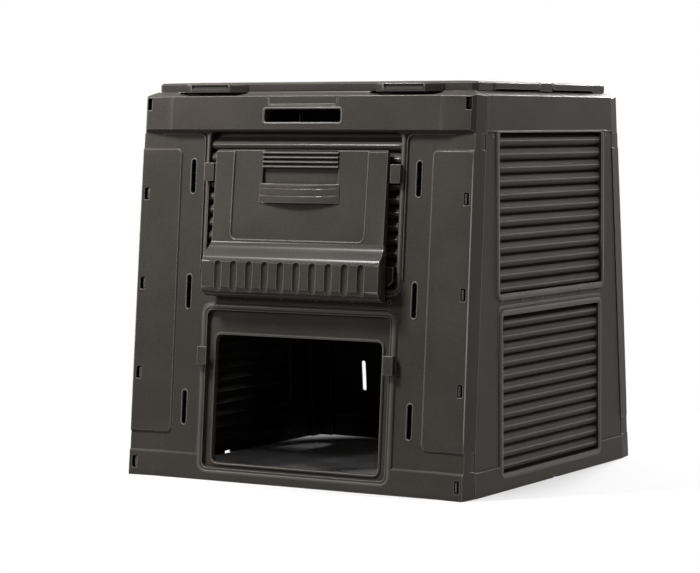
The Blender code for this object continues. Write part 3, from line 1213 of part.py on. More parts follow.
mouldings = (front_wall, rear_wall, left_wall, right_wall, front_door, rear_door, front_lid, rear_lid, lid_bar)
for piece in mouldings:
    finish(piece, plastic)
for piece in (front_hinge_rod, rear_hinge_rod):
    finish(piece, metal)
stand_on_origin(mouldings + (front_hinge_rod, rear_hinge_rod))
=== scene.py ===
# %% [markdown]
# # A garden compost bin in Blender
#
# The bin is a handful of big injection mouldings in dark grey-brown plastic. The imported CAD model
# already has their shapes, their places and their joints, so this script is about looks: soft
# moulded edges, rolled louvres and rims, grained plastic, a quiet studio and the right camera.

# %% Load the frame
import math

import bmesh
import bpy
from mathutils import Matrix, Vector


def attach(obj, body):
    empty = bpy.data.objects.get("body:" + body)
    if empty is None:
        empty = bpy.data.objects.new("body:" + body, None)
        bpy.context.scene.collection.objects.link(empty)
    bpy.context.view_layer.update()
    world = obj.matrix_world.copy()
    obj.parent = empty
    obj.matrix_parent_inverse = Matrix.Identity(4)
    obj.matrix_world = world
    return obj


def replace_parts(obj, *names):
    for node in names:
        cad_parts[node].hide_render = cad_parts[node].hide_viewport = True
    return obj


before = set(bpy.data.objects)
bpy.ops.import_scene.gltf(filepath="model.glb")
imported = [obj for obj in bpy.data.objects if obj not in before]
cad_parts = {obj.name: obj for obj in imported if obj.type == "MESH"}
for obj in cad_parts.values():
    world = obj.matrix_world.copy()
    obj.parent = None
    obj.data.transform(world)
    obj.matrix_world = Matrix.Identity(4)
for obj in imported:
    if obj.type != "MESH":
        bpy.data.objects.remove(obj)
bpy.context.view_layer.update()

# %% [markdown]
# ## Shader maths as plain Python
#
# A material is a graph of nodes. Wiring it by hand hides the idea, so one small class wraps a
# node's output and lets `+ - *` add the Math nodes. Colours never pass through a Math node, which
# would turn them grey: they go through Mix. A colour that is the same all over needs no node at
# all, so Python mixes it.

# %% A socket that can be reckoned with


class Field:
    """One output socket of a node, as a value that arithmetic works on."""

    def __init__(self, tree, socket):
        self.tree = tree
        self.socket = socket

    def math(self, operation, first, second):
        return wire(self.tree, "ShaderNodeMath", {"operation": operation}, (first, second))

    def __add__(self, other):
        return self.math("ADD", self, other)

    def __sub__(self, other):
        return self.math("SUBTRACT", self, other)

    def __rsub__(self, other):
        return self.math("SUBTRACT", other, self)

    def __mul__(self, other):
        return self.math("MULTIPLY", self, other)

    __radd__ = __add__
    __rmul__ = __mul__

    def ramp(self, low, high):
        """0 below low, 1 above high and a soft rise between them."""
        return wire(self.tree, "ShaderNodeMapRange", {"interpolation_type": "SMOOTHSTEP"},
                    {"Value": self, "From Min": low, "From Max": high})

    def feed(self, socket):
        self.tree.links.new(self.socket, socket)


# %% Nodes and colours
MIX_SHARE, MIX_FIRST, MIX_SECOND, MIX_RESULT = 0, 6, 7, 2  # the colour sockets of a Mix node


def wire(tree, kind, settings=(), inputs=(), output=0):
    """Adds a node: its settings first, then the numbers or links of its sockets."""
    node = tree.nodes.new(kind)
    for name, value in dict(settings).items():
        setattr(node, name, value)
    pairs = inputs.items() if isinstance(inputs, dict) else enumerate(inputs)
    for key, value in pairs:
        if isinstance(value, Field):
            value.feed(node.inputs[key])
        else:
            node.inputs[key].default_value = value
    return Field(tree, node.outputs[output])


def blend_colours(tree, share, first, second):
    """A colour that varies over the surface, from first where share is 0 to second where it is 1."""
    return wire(tree, "ShaderNodeMix", {"data_type": "RGBA"},
                {MIX_SHARE: share, MIX_FIRST: first, MIX_SECOND: second}, MIX_RESULT)


def blended(first, second, share):
    """A colour between two that is the same all over."""
    return (*[low + (high - low) * share for low, high in zip(first, second)], 1)


def new_material(name):
    material = bpy.data.materials.new(name)
    material.use_nodes = True
    return material, material.node_tree, material.node_tree.nodes["Principled BSDF"]


# %% [markdown]
# ## Moulded plastic
#
# The bin is moulded plastic with a fine grain from the mould. Up close it is dark and light specks
# under a slow cloudiness, so two noises of very different scale make it. Its outward edges are
# painted paler, as a painted highlight, and made glossier, and they are what shows the shape of so
# dark an object.
#
# Painting that highlight by hand would not follow the shapes. Instead the Bevel node gives the normal
# of a rounded surface, and where it turns away from the true one there is an edge. Pointiness keeps
# the outward edges and drops the inward ones. Ambient Occlusion paints shade into the corners that
# see little air, as a painted shade. How far the whole surface is painted paler, as a highlight, and
# made glossier is one number, so rims and beads use it too.

# %% The grained plastic
# The two specks are the plastic's own tones; the third tone is a painted shade for the corners.
DARK_SPECK, LIGHT_SPECK, CORNER_SHADE = (0.036, 0.0312, 0.0264), (0.062, 0.0542, 0.0466), (0.006, 0.0052, 0.0045)
# Painted highlight tones: one for the whole surface, one for its outward edges.
HIGHLIGHT_PALE, EDGE_HIGHLIGHT_TONE = (0.3, 0.28, 0.255), (0.26, 0.24, 0.22)
GRAIN_SCALE, CLOUD_SCALE = 520.0, 7.0
EDGE_REACH, CORNER_REACH = 0.002, 0.014
# How strongly outward edges are painted paler as a highlight, and how much coat they get.
EDGE_HIGHLIGHT_SHARE, EDGE_COAT = 0.75, 0.7


def moulded_plastic(name, painted_highlight=0.0):
    """Grained plastic with a painted highlight on its outward edges and painted shade in its corners. The
    last argument, from 0 to 1, says how far the whole surface is painted paler, as a highlight, and made
    glossier.
    """
    material, tree, shader = new_material(name)
    place = wire(tree, "ShaderNodeTexCoord", output="Object")
    grain = wire(tree, "ShaderNodeTexNoise", {}, {"Vector": place, "Scale": GRAIN_SCALE, "Detail": 2.0})
    cloud = wire(tree, "ShaderNodeTexNoise", {}, {"Vector": place, "Scale": CLOUD_SCALE, "Detail": 3.0})
    speckle = cloud.ramp(0.35, 0.7) * 0.4 + grain.ramp(0.3, 0.7) * 0.6

    soft = wire(tree, "ShaderNodeBevel", {"samples": 6}, {"Radius": EDGE_REACH})
    flat = wire(tree, "ShaderNodeNewGeometry", output="True Normal")
    turn = 1 - wire(tree, "ShaderNodeVectorMath", {"operation": "DOT_PRODUCT"}, (soft, flat), "Value")
    outward = wire(tree, "ShaderNodeNewGeometry", output="Pointiness").ramp(0.495, 0.515)
    edge = turn.ramp(0.002, 0.04) * outward
    air = wire(tree, "ShaderNodeAmbientOcclusion", {"samples": 4}, {"Distance": CORNER_REACH}, "AO")

    # Painted highlight lifts the tones towards a pale one; painted shade darkens the corners to near black.
    dark, light, painted_shade = [blended(tone, HIGHLIGHT_PALE, painted_highlight) for tone in (DARK_SPECK, LIGHT_SPECK, CORNER_SHADE)]
    tone = blend_colours(tree, air.ramp(0.0, 0.9), painted_shade, blend_colours(tree, speckle, dark, light))
    # Painted highlight along the outward edges.
    blend_colours(tree, edge * EDGE_HIGHLIGHT_SHARE, tone, (*EDGE_HIGHLIGHT_TONE, 1)).feed(shader.inputs["Base Color"])
    gloss = (0.4 - painted_highlight * 0.2) + cloud * 0.06 + grain * 0.08 - edge * 0.16
    gloss.feed(shader.inputs["Roughness"])
    (painted_highlight + edge * (EDGE_COAT * (1 - painted_highlight))).feed(shader.inputs["Coat Weight"])
    shader.inputs["Coat Roughness"].default_value = 0.22
    shader.inputs["Specular IOR Level"].default_value = 0.07
    bump = {"Strength": 0.3, "Distance": 0.0004, "Height": grain, "Normal": soft}
    wire(tree, "ShaderNodeBump", {}, bump).feed(shader.inputs["Normal"])
    print(name, len(tree.nodes), "nodes")
    return material


PLASTIC = moulded_plastic("grained_plastic")
# Plastic painted paler all over, as a painted highlight, and glossier: for rims, rings and dimples.
HIGHLIT_PLASTIC = moulded_plastic("highlit_plastic", 0.16)
# Plastic painted almost white, as a painted highlight line, and glossy: for the thin beads.
GLINT_PLASTIC = moulded_plastic("corner_glint_plastic", 0.8)

# %% [markdown]
# ## The sizes of the bin
#
# What this script adds is laid on the walls with the same sizes that the CAD model was drawn from.
# The front and rear walls lean inwards, the side walls only a little, and the ends of every wall are
# drawn in to meet the next one. The heights below are mostly shares of the bin's height, because
# that is how they were measured.

# %% Sizes that the walls share
WIDTH, DEPTH, HEIGHT = 0.788, 0.769, 0.777
LEAN, BATTER = 0.0635 / HEIGHT, 0.005 / HEIGHT  # front and rear walls, side walls
TRAVEL = 0.47876 * HEIGHT  # how far a door slides, in height
SHIFT = LEAN * TRAVEL / 2  # the walls' middle lies this far in front of the frame's
DRAW_IN_START, DRAW_IN_WIDTH = 0.292, 0.053
print("front leans", round(math.degrees(math.atan(LEAN)), 2), "degrees, doors rise", round(TRAVEL, 4), "m")

# %% [markdown]
# ## Soft moulded edges
#
# Nothing that comes out of a mould has a knife edge: a radius of a millimetre or two lets the melt
# flow and the part drop out, and it is what catches the light along every rim of the bin. A Bevel
# modifier makes it, but one width for the whole wall would fold over itself at the small features.
# So each sharp edge gets its own bevel weight, from the length of the edges that it has to share
# its corners with.
#
# The rim of each return is drawn back a little as well. That is the dark upright seam beside the
# corner, where a return of the front wall meets the side wall.

# %% How wide each edge may be rounded
EDGE_RADIUS = 0.0016
SHARP, SHADING_SPLIT = math.radians(24), math.radians(50)
ROOM_SHARE, SLIGHTEST_TURN = 0.42, 0.2


def room_at(edge, vert):
    """How wide a bevel on this edge may be before it eats the next edges at this end."""
    along = (edge.other_vert(vert).co - vert.co).normalized()
    room = EDGE_RADIUS
    for other in vert.link_edges:
        if other is edge:
            continue
        away = other.other_vert(vert).co - vert.co
        if away.length > 0:
            lean = max(1 - along.dot(away.normalized()) ** 2, 0.0) ** 0.5
            if lean > SLIGHTEST_TURN:
                room = min(room, ROOM_SHARE * away.length * lean)
    return room


def applied(piece):
    """The piece's mesh with its modifiers worked in."""
    graph = bpy.context.evaluated_depsgraph_get()
    mesh = bpy.data.meshes.new_from_object(piece.evaluated_get(graph))
    piece.modifiers.clear()
    return mesh


def placed(name, mesh):
    """A new object in the scene."""
    item = bpy.data.objects.new(name, mesh)
    bpy.context.scene.collection.objects.link(item)
    return item


def mesh_from(bm, name):
    """Turns worked mesh data into a mesh and lets go of it."""
    mesh = bpy.data.meshes.new(name)
    bm.to_mesh(mesh)
    bm.free()
    return mesh


def welded(mesh):
    """A copy of a mesh to work on, with its split corners joined."""
    bm = bmesh.new()
    bm.from_mesh(mesh)
    bmesh.ops.remove_doubles(bm, verts=bm.verts, dist=1e-6)
    return bm


# %% Rounded copies of the big mouldings
SEAM_FROM, SEAM_DEPTH, SEAM_REACH, SEAM_OPEN = 0.36, 0.038, 0.0006, 0.0022


def open_seam(bm, side):
    """Draws back the rim of an end wall's returns, so that a dark line parts it from the side walls."""
    for vert in bm.verts:
        depth = side * (vert.co.y + SHIFT) + DEPTH / 2 - LEAN * vert.co.z
        if abs(vert.co.x) > SEAM_FROM and abs(depth - SEAM_DEPTH) < SEAM_REACH:
            vert.co.y -= side * SEAM_OPEN


def softened(node_name, body, mesh=None):
    """A copy of a CAD node with rounded edges, which stands for it in the picture."""
    bm = welded(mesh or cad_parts[node_name].data)
    if node_name in ("front_wall", "rear_wall"):
        open_seam(bm, 1 if node_name == "front_wall" else -1)
    weights = bm.edges.layers.float.new("bevel_weight_edge")
    for edge in bm.edges:
        if len(edge.link_faces) == 2 and edge.calc_face_angle(0.0) > SHARP:
            edge[weights] = min(room_at(edge, vert) for vert in edge.verts) / EDGE_RADIUS
    name = node_name + "_moulding"
    piece = placed(name, mesh_from(bm, name))
    bevel = piece.modifiers.new("edges", "BEVEL")
    bevel.limit_method = "WEIGHT"
    bevel.width = EDGE_RADIUS
    bevel.segments = 2
    bevel.use_clamp_overlap = False
    piece.data = applied(piece)
    piece.data.shade_smooth()
    piece.data.set_sharp_from_angle(angle=SHADING_SPLIT)
    piece.data.materials.clear()
    piece.data.materials.append(PLASTIC)
    piece.modifiers.new("shading", "WEIGHTED_NORMAL").keep_sharp = True
    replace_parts(piece, node_name)
    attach(piece, body)
    print(name, len(piece.data.polygons), "faces")


for node_name in ("front_wall", "rear_wall", "left_wall", "right_wall", "lid_bar"):
    softened(node_name, "shell")
softened("front_lid", "front_flap")
softened("rear_lid", "rear_flap")

# %% [markdown]
# ## Laying things on the leaning walls
#
# The louvres and rolled rims are swept along the walls, and the walls lean. Turning finished pieces
# into place would need an angle for each and would miss the drawn-in ends. So a point is given
# flat on its wall, as its distance across, its depth behind the outer face and its height, and one
# function per kind of wall stands it up. The other wall of each pair is the same moulding turned
# half round. Every new piece is a tube: a row of rings of such points, skinned.

# %% From flat drawing to leaning wall


def drawn_in(across, amount):
    """A wall's ends come inwards by an amount that grows over a short stretch."""
    share = min(max((abs(across) - DRAW_IN_START) / DRAW_IN_WIDTH, 0.0), 1.0)
    return across - math.copysign(amount * share, across)


def on_front(across, depth, height):
    return Vector((drawn_in(across, BATTER * height), LEAN * height - DEPTH / 2 + depth - SHIFT, height))


def on_right(across, depth, height):
    return Vector((WIDTH / 2 - depth - BATTER * height, drawn_in(across, LEAN * height) - SHIFT, height))


def turned(place):
    """The same moulding on the opposite wall: half a turn about the bin's own middle."""
    def opposite(across, depth, height):
        point = place(across, depth, height)
        return Vector((-point.x, -2 * SHIFT - point.y, point.z))
    return opposite


def shifted(place, along):
    """The same wall, with across counted from another line."""
    def beside(across, depth, height):
        return place(across + along, depth, height)
    return beside


WALLS = {"front": on_front, "rear": turned(on_front), "right": on_right, "left": turned(on_right)}
print("top front corner", [round(v, 4) for v in WALLS["front"](WIDTH / 2, 0, HEIGHT)])

# %% Tubes and pieces
ROUND_SHADING = math.radians(40)


def circle(sides):
    """The cosine and sine of evenly spaced turns."""
    turns = [2 * math.pi * side / sides for side in range(sides)]
    return [(math.cos(turn), math.sin(turn)) for turn in turns]


def tube(bm, rings, closed=False):
    """Skins a row of rings of points. An open row gets a cap at each end, a closed one runs round."""
    rows = [[bm.verts.new(point) for point in ring] for ring in rings]
    pairs = list(zip(rows, rows[1:])) + ([(rows[-1], rows[0])] if closed else [])
    for low, high in pairs:
        for index in range(len(low)):
            bm.faces.new((low[index - 1], low[index], high[index], high[index - 1]))
    if not closed:
        bm.faces.new(rows[0])
        bm.faces.new(rows[-1])


def piece_from(bm, name, material, body="shell"):
    """Makes the object, gives it its finish and lets it ride on its body."""
    bmesh.ops.recalc_face_normals(bm, faces=bm.faces)
    mesh = mesh_from(bm, name)
    mesh.materials.append(material)
    mesh.shade_smooth()
    mesh.set_sharp_from_angle(angle=ROUND_SHADING)
    piece = placed(name, mesh)
    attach(piece, body)
    print(name, len(mesh.polygons), "faces")
    return piece


# %% [markdown]
# ## Steel hinge rods
#
# The two rods that the lid flaps turn on are plain drawn steel. They are round with domed ends,
# and their scratches run lengthwise, because the wire was pulled through a die. A noise that is
# stretched along the rod gives such scratches without a texture image.

# %% Hinge rods
ROD_RADIUS = 0.003
ROD_DOME = ((0.0, 0.55), (0.0005, 0.85), (0.0015, 1.0))  # (distance from the end, share of the radius)


def brushed_steel(name):
    material, tree, shader = new_material(name)
    place = wire(tree, "ShaderNodeTexCoord", output="Object")
    along = wire(tree, "ShaderNodeMapping", {}, {"Vector": place, "Scale": (0.05, 1.0, 1.0)})
    scratch = wire(tree, "ShaderNodeTexNoise", {}, {"Vector": along, "Scale": 1500.0, "Detail": 3.0})
    tone = blend_colours(tree, scratch.ramp(0.3, 0.7), (0.42, 0.43, 0.44, 1), (0.56, 0.57, 0.58, 1))
    tone.feed(shader.inputs["Base Color"])
    (0.28 + scratch * 0.16).feed(shader.inputs["Roughness"])
    shader.inputs["Metallic"].default_value = 1.0
    return material


def steel_rod(node_name, material):
    """A round rod with domed ends, in place of the CAD's twelve-sided one."""
    corners = [vert.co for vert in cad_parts[node_name].data.vertices]
    middle = sum(corners, Vector()) / len(corners)
    half = max(corner.x for corner in corners)
    stations = [(inset - half, share) for inset, share in ROD_DOME]
    stations += [(-x, share) for x, share in reversed(stations)]
    bm = bmesh.new()
    tube(bm, [[Vector((x, middle.y + ROD_RADIUS * share * out, middle.z + ROD_RADIUS * share * up))
               for out, up in circle(24)] for x, share in stations])
    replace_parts(piece_from(bm, node_name + "_steel", material), node_name)


STEEL = brushed_steel("hinge_steel_wire")
steel_rod("front_hinge_rod", STEEL)
steel_rod("rear_hinge_rod", STEEL)

# %% [markdown]
# ## Louvre slats
#
# Each slat is a shallow hollow roll: its upper half looks up and is light, its lower half is in its
# own shade, and a black gap follows. That light and dark is what makes the walls look ribbed, so
# the profile is drawn point by point: a slanting top with one fine step in it, a tight crest and a
# slanting underside. Both ends turn in with a small curl. The CAD slats stay inside these.

# %% Finely rolled slats
SLAT_RISE, SLAT_SKIN = 0.0215, 0.0028
SLAT_ROOT, SLAT_CREST = 0.0150, 0.0042  # depths behind the wall's outer face
# (share of the way out from root to crest, share of half the rise) down the slat's face
SLAT_FACE = ((0.0, 1.0), (0.22, 0.9), (0.5, 0.66), (0.64, 0.55), (0.73, 0.5), (0.76, 0.43),
             (0.88, 0.27), (0.985, 0.12), (1.0, 0.03), (0.96, -0.08), (0.8, -0.25), (0.6, -0.45),
             (0.4, -0.65), (0.18, -0.86), (0.0, -1.0))
SLAT_CURL = ((-0.001, 0.8), (0.0015, 0.9), (0.004, 0.97), (0.008, 1.0))  # (distance from the end, swell)
SLAT_MIDDLE = (-0.5, 0.0, 0.5)
FRONT_HALF, SIDE_UPPER_HALF, SIDE_LOWER_HALF = 0.2222, 0.30689 * DEPTH, 0.28999 * DEPTH
# (half the window's width, top of the first slat, pitch, how many)
FRONT_LOUVRES = ((FRONT_HALF, 0.88739 * HEIGHT, 0.03372 * HEIGHT, 11),)
SIDE_LOUVRES = ((SIDE_UPPER_HALF, 0.89897 * HEIGHT, 0.03385 * HEIGHT, 12),
                (SIDE_LOWER_HALF, 0.43822 * HEIGHT, 0.03288 * HEIGHT, 12))


def slat_profile(top, swell):
    """(depth, height) points round one slat. swell pulls its face in, for the rounded ends."""
    middle = top - SLAT_RISE / 2
    outer = [(SLAT_ROOT - (SLAT_ROOT - SLAT_CREST) * out * swell, middle + SLAT_RISE / 2 * rise)
             for out, rise in SLAT_FACE]
    return outer + [(depth + SLAT_SKIN, height) for depth, height in reversed(outer)]


def louvres(name, wall, windows):
    place = WALLS[wall]
    bm = bmesh.new()
    for half, top, pitch, count in windows:
        left = [(inset - half, swell) for inset, swell in SLAT_CURL]
        right = [(-across, swell) for across, swell in reversed(left)]
        stations = left + [(half * share, 1.0) for share in SLAT_MIDDLE] + right
        for index in range(count):
            slat_top = top - pitch * index
            tube(bm, [[place(across, depth, height) for depth, height in slat_profile(slat_top, swell)]
                      for across, swell in stations])
    piece_from(bm, name, PLASTIC)


for wall in ("front", "rear"):
    louvres(wall + "_louvres", wall, FRONT_LOUVRES)
for wall in ("left", "right"):
    louvres(wall + "_louvres", wall, SIDE_LOUVRES)

# %% [markdown]
# ## Rolled rims
#
# A big thin wall is floppy, so the mould rolls the plastic forward round each window. The roll is a
# stiffener, and the photograph shows it as one long bright line with a dark side. A Bevel on the
# opening's edge would be too narrow for it, so it is a low half-round, swept along a rectangle with
# rounded corners. The upper side windows' roll runs out under the top band, so it is only a U.

# %% Paths and half-round sweeps


def rounded_path(half, low, high, radius, steps=6):
    """Points (across, height, outward direction) round a rectangle with rounded corners."""
    path = []
    for x, z, start in ((-half, low, 180), (half, low, 270), (half, high, 0), (-half, high, 90)):
        cx = x - math.copysign(radius, x)
        cz = z + radius if z == low else z - radius
        for step in range(steps + 1):
            turn = math.radians(start + 90 * step / steps)
            path.append((cx + radius * math.cos(turn), cz + radius * math.sin(turn), turn))
    return path


def hanging(half, low, high, radius):
    """The path of a U: down one side, round the two lower corners and up the other side."""
    path = rounded_path(half, low, high + 2 * radius, radius)
    corners = [node for node in path if node[1] < low + 1.5 * radius]
    return [(-half, high, math.pi)] + corners + [(half, high, 2 * math.pi)]


def half_round(bm, place, path, roll, steps=6, closed=False):
    """Sweeps a half-round along a path. roll is its width and the depths of its foot and its crest."""
    width, foot, crest = roll
    rings = []
    for across, height, turn in path:
        ring = []
        for step in range(steps + 1):
            bend = math.pi * step / steps
            out = width / 2 * math.cos(bend)
            depth = foot + (crest - foot) * math.sin(bend)
            ring.append(place(across + out * math.cos(turn), depth, height + out * math.sin(turn)))
        rings.append(ring)
    tube(bm, rings, closed)


# %% Frames of the side windows
FRAME_ROLL, FRAME_RADIUS, FRAME_OUT, FRAME_BELOW = (0.013, 0.0035, -0.0012), 0.012, 0.0075, 0.0065
SIDE_UPPER_LOW, SIDE_UPPER_END = 0.500 * HEIGHT, 0.904 * HEIGHT
SIDE_LOWER_LOW, SIDE_LOWER_HIGH = 0.0444 * HEIGHT, 0.4453 * HEIGHT


def side_rims(name, wall):
    """A side wall's rims: a U round the upper window, and all round the lower one."""
    bm = bmesh.new()
    upper = hanging(SIDE_UPPER_HALF + FRAME_OUT, SIDE_UPPER_LOW - FRAME_BELOW, SIDE_UPPER_END, FRAME_RADIUS)
    lower = rounded_path(SIDE_LOWER_HALF + FRAME_OUT, SIDE_LOWER_LOW - FRAME_BELOW,
                         SIDE_LOWER_HIGH + FRAME_BELOW, FRAME_RADIUS)
    half_round(bm, WALLS[wall], upper, FRAME_ROLL, 8)
    half_round(bm, WALLS[wall], lower, FRAME_ROLL, 8, closed=True)
    # The rims are painted paler, as a painted highlight.
    piece_from(bm, name, HIGHLIT_PLASTIC)


side_rims("right_rims", "right")
side_rims("left_rims", "left")

# %% [markdown]
# ## Rings and beads on the small features
#
# A row of drain holes runs round the bin's waist, each with a ring pressed up round it. The end
# walls also have a thumb pad over the handle slot, outlined by a fine bead, and a flat field at each
# side of the window, whose upper corner is outlined too. They are the same half-round sweep as the
# frames, only much finer, which keeps them soft at any distance.

# %% Drain rings, thumb pad and fields
DRAIN_AT, DRAIN_COUNT = 0.48263 * HEIGHT, 6
DRAIN_RING, DRAIN_RING_RADIUS, DRAIN_RING_WIDTH = 0.0036, 0.0035, 0.002
DRAIN_FOOT, DRAIN_CREST = 0.001, -0.0011  # from the surface that the holes are in
# (pitch, depth of the surface)
FRONT_DRAINS, SIDE_DRAINS = (0.10508 * WIDTH, 0.0032), (0.11704 * DEPTH, 0.003)
PAD_LINE, PAD_ROLL = (0.079, 0.7605, 0.774, 0.003), (0.0022, -0.0112, -0.0131)
FIELD_ROLL, FIELD_RADIUS = (0.003, 0.0032, -0.0008), 0.014
FIELD_INNER, FIELD_OUTER, FIELD_LOW, FIELD_TOP = 0.235, 0.345, 0.42, 0.701


def field_path(side):
    """Up the inner edge of a field, round its upper corner and outwards under the top band."""
    turns = [math.pi - math.pi / 2 * step / 6 for step in range(7)]
    path = [(FIELD_INNER, FIELD_LOW, math.pi)]
    path += [(FIELD_INNER + FIELD_RADIUS * (1 + math.cos(turn)),
              FIELD_TOP - FIELD_RADIUS * (1 - math.sin(turn)), turn) for turn in turns]
    path.append((FIELD_OUTER, FIELD_TOP, math.pi / 2))
    return path if side > 0 else [(-across, height, math.pi - turn) for across, height, turn in path]


def small_rims(name, wall, pitch, surface):
    bm = bmesh.new()
    place = WALLS[wall]
    ring = rounded_path(DRAIN_RING, DRAIN_AT - DRAIN_RING, DRAIN_AT + DRAIN_RING, DRAIN_RING_RADIUS)
    roll = (DRAIN_RING_WIDTH, surface + DRAIN_FOOT, surface + DRAIN_CREST)
    for index in range(DRAIN_COUNT):
        centre = pitch * (index + 0.5 - DRAIN_COUNT / 2)
        half_round(bm, shifted(place, centre), ring, roll, 4, closed=True)
    if wall in ("front", "rear"):
        half_round(bm, place, hanging(*PAD_LINE), PAD_ROLL)
        for side in (-1, 1):
            half_round(bm, place, field_path(side), FIELD_ROLL)
    # The rings and beads are painted paler, as a painted highlight.
    piece_from(bm, name, HIGHLIT_PLASTIC)


for wall in ("front", "rear"):
    small_rims(wall + "_small_rims", wall, *FRONT_DRAINS)
for wall in ("left", "right"):
    small_rims(wall + "_small_rims", wall, *SIDE_DRAINS)

# %% [markdown]
# ## Front and rear rims, and painted highlight lines
#
# The front and rear walls have frames round the window and the doorway, a rim in the handle slot
# and one round each of the six vent slots. The upright corners, and the upright edges of the upper
# side windows, get a highlight line: thin beads painted almost white, as a painted highlight, that
# swell in the middle and run out at both ends.

# %% Frames of the end walls, and the painted highlight beads
# (centre across, half the width, low and high of the rim's line, corner radius, roll)
HIGH_FRAME = (0, FRONT_HALF + 0.0046, 0.5148 * HEIGHT - 0.0046, 0.90862 * HEIGHT + 0.0046, 0.0146,
              (0.0075, 0.0026, -0.001))
DOORWAY_FRAME = (0, 0.2213, 0.03346 * HEIGHT - 0.008, 0.44402 * HEIGHT + 0.008, 0.018,
                 (0.010, 0.0028, -0.001))
HANDLE_RIM = (0, 0.0885 + 0.0026, 0.725 - 0.0026, 0.751 + 0.0026, 0.006, (0.0046, -0.0105, -0.013))
VENT_RIMS = [(side * 0.2625, 0.00655, low - 0.0013, low + 0.0703, 0.0065, (0.0032, 0.004, 0.0021))
             for low in (0.11, 0.345, 0.58) for side in (-1, 1)]
# (height, the bead's radius there)
# Where the painted highlight lines run, and how thick they are.
CORNER_GLINT = ((0.092, 0.0002), (0.12, 0.001), (0.3, 0.0013), (0.5, 0.0012), (0.64, 0.0008), (0.668, 0.0002))
FRAME_GLINT = ((0.397, 0.0002), (0.42, 0.0013), (0.5, 0.0013), (0.62, 0.0009), (0.69, 0.0002))
CORNER_ACROSS, CORNER_AT, FRAME_CREST = 0.3872, -0.0052, -0.0006


def end_rims(name, wall):
    bm = bmesh.new()
    for centre, half, low, high, radius, roll in (HIGH_FRAME, DOORWAY_FRAME, HANDLE_RIM, *VENT_RIMS):
        line = rounded_path(half, low, high, radius)
        half_round(bm, shifted(WALLS[wall], centre), line, roll, 8, closed=True)
    # The rims are painted paler, as a painted highlight.
    piece_from(bm, name, HIGHLIT_PLASTIC)


def highlight_beads(name, wall, across, depth, glint_radii):
    """A thin bead up a wall, the same at both sides, painted almost white as a highlight line."""
    bm = bmesh.new()
    for side in (-1, 1):
        tube(bm, [[WALLS[wall](side * (across + radius * out), depth + radius * back, height)
                   for out, back in circle(8)] for height, radius in glint_radii])
    piece_from(bm, name, GLINT_PLASTIC)


for wall in ("front", "rear"):
    end_rims(wall + "_rims", wall)
    highlight_beads(wall + "_corner_beads", wall, CORNER_ACROSS, CORNER_AT, CORNER_GLINT)
for wall in ("left", "right"):
    highlight_beads(wall + "_frame_beads", wall, SIDE_UPPER_HALF + FRAME_OUT, FRAME_CREST, FRAME_GLINT)

# %% [markdown]
# ## Small dimples on the side walls
#
# Four round dimples sit at the corners of each side wall. They are a ring pressed up round a dark
# pit. A short lathe profile, turned round its own axis, makes one, and the wall's placing function
# puts it where it belongs.

# %% Dimples
# (radius, depth) from the ring's foot over its crest into the pit
DIMPLE_PROFILE = ((0.0045, 0.0036), (0.0042, 0.0022), (0.0034, 0.0017), (0.0026, 0.0024),
                  (0.0022, 0.0031), (0.0012, 0.0033))
DIMPLES = ((-0.262, 0.6985), (0.262, 0.6985), (-0.247, 0.018), (0.247, 0.018))


def dimples(name, wall):
    bm = bmesh.new()
    for across, height in DIMPLES:
        tube(bm, [[WALLS[wall](across + radius * out, depth, height + radius * up)
                   for out, up in circle(20)] for radius, depth in DIMPLE_PROFILE])
    # The dimples are painted paler, as a painted highlight.
    piece_from(bm, name, HIGHLIT_PLASTIC)


dimples("right_dimples", "right")
dimples("left_dimples", "left")

# %% [markdown]
# ## The finger pocket behind a door's pull
#
# Both doors are the same moulding, one raised and one let down. The photograph shows a black
# crescent under the pull, where the fingers go in. Dark paint would look flat from any other side,
# so it is cut: the pull's underside is made flat, a block that is one skin larger is added behind
# it with a Boolean, and the pocket is taken out of that block. The wall stays closed.

# %% A door with its pocket
DOOR_TOP, CREASE = 0.86229 * HEIGHT, 0.6242 * HEIGHT
FACE_AT_TOP, FACE_FALL = -0.0115, -0.0055  # the door's face stands further out at the crease
PANEL_SUNK = 0.0022
PULL_LIP, PULL_SLANT, PULL_HALF, PULL_FLAT = 0.72651 * HEIGHT, 0.02897 * HEIGHT, 0.093, 0.06
LIP_CLEAR, POCKET_CLEAR = 0.0002, 0.0006
POCKET_HALF, POCKET_SAG, POCKET_RISE, POCKET_DEPTH, POCKET_SKIN = 0.084, 0.0115, 0.022, 0.011, 0.002
BLOCK_STARTS, CUT_STARTS = (0.0014, 0.0016), (-0.0008, 0.0012)  # below the lip, above it


def face_depth(height):
    """The depth of a raised door's face, which is flat but not parallel to the wall."""
    return FACE_AT_TOP + FACE_FALL * (DOOR_TOP - height) / (DOOR_TOP - CREASE)


def on_rear_door(across, depth, height):
    """The rear door is let down, so its drawing comes down along the leaning wall."""
    return WALLS["rear"](across, depth, height) + Vector((0, LEAN * TRAVEL, -TRAVEL))


def crescent(place, grow, starts, back):
    """A solid behind the pull, flat on top and sagging below. It starts at one depth from the sunk
    panel below the lip and at another above it, where the pull covers it."""
    below, above = starts
    half, top = POCKET_HALF + grow, PULL_LIP + POCKET_RISE + grow
    outline = []
    for step in range(17):
        share = step / 8 - 1
        sag = (POCKET_SAG + grow) * (1 - share ** 2)
        outline.append((half * share, PULL_LIP - POCKET_CLEAR - sag, below))
    outline += [(half, top, above), (-half, top, above)]
    bm = bmesh.new()
    tube(bm, [[place(x, face_depth(z) + PANEL_SUNK + start, z) for x, z, start in outline],
              [place(x, face_depth(PULL_LIP) + back, z) for x, z, start in outline]])
    bmesh.ops.recalc_face_normals(bm, faces=bm.faces)
    return placed("crescent", mesh_from(bm, "crescent"))


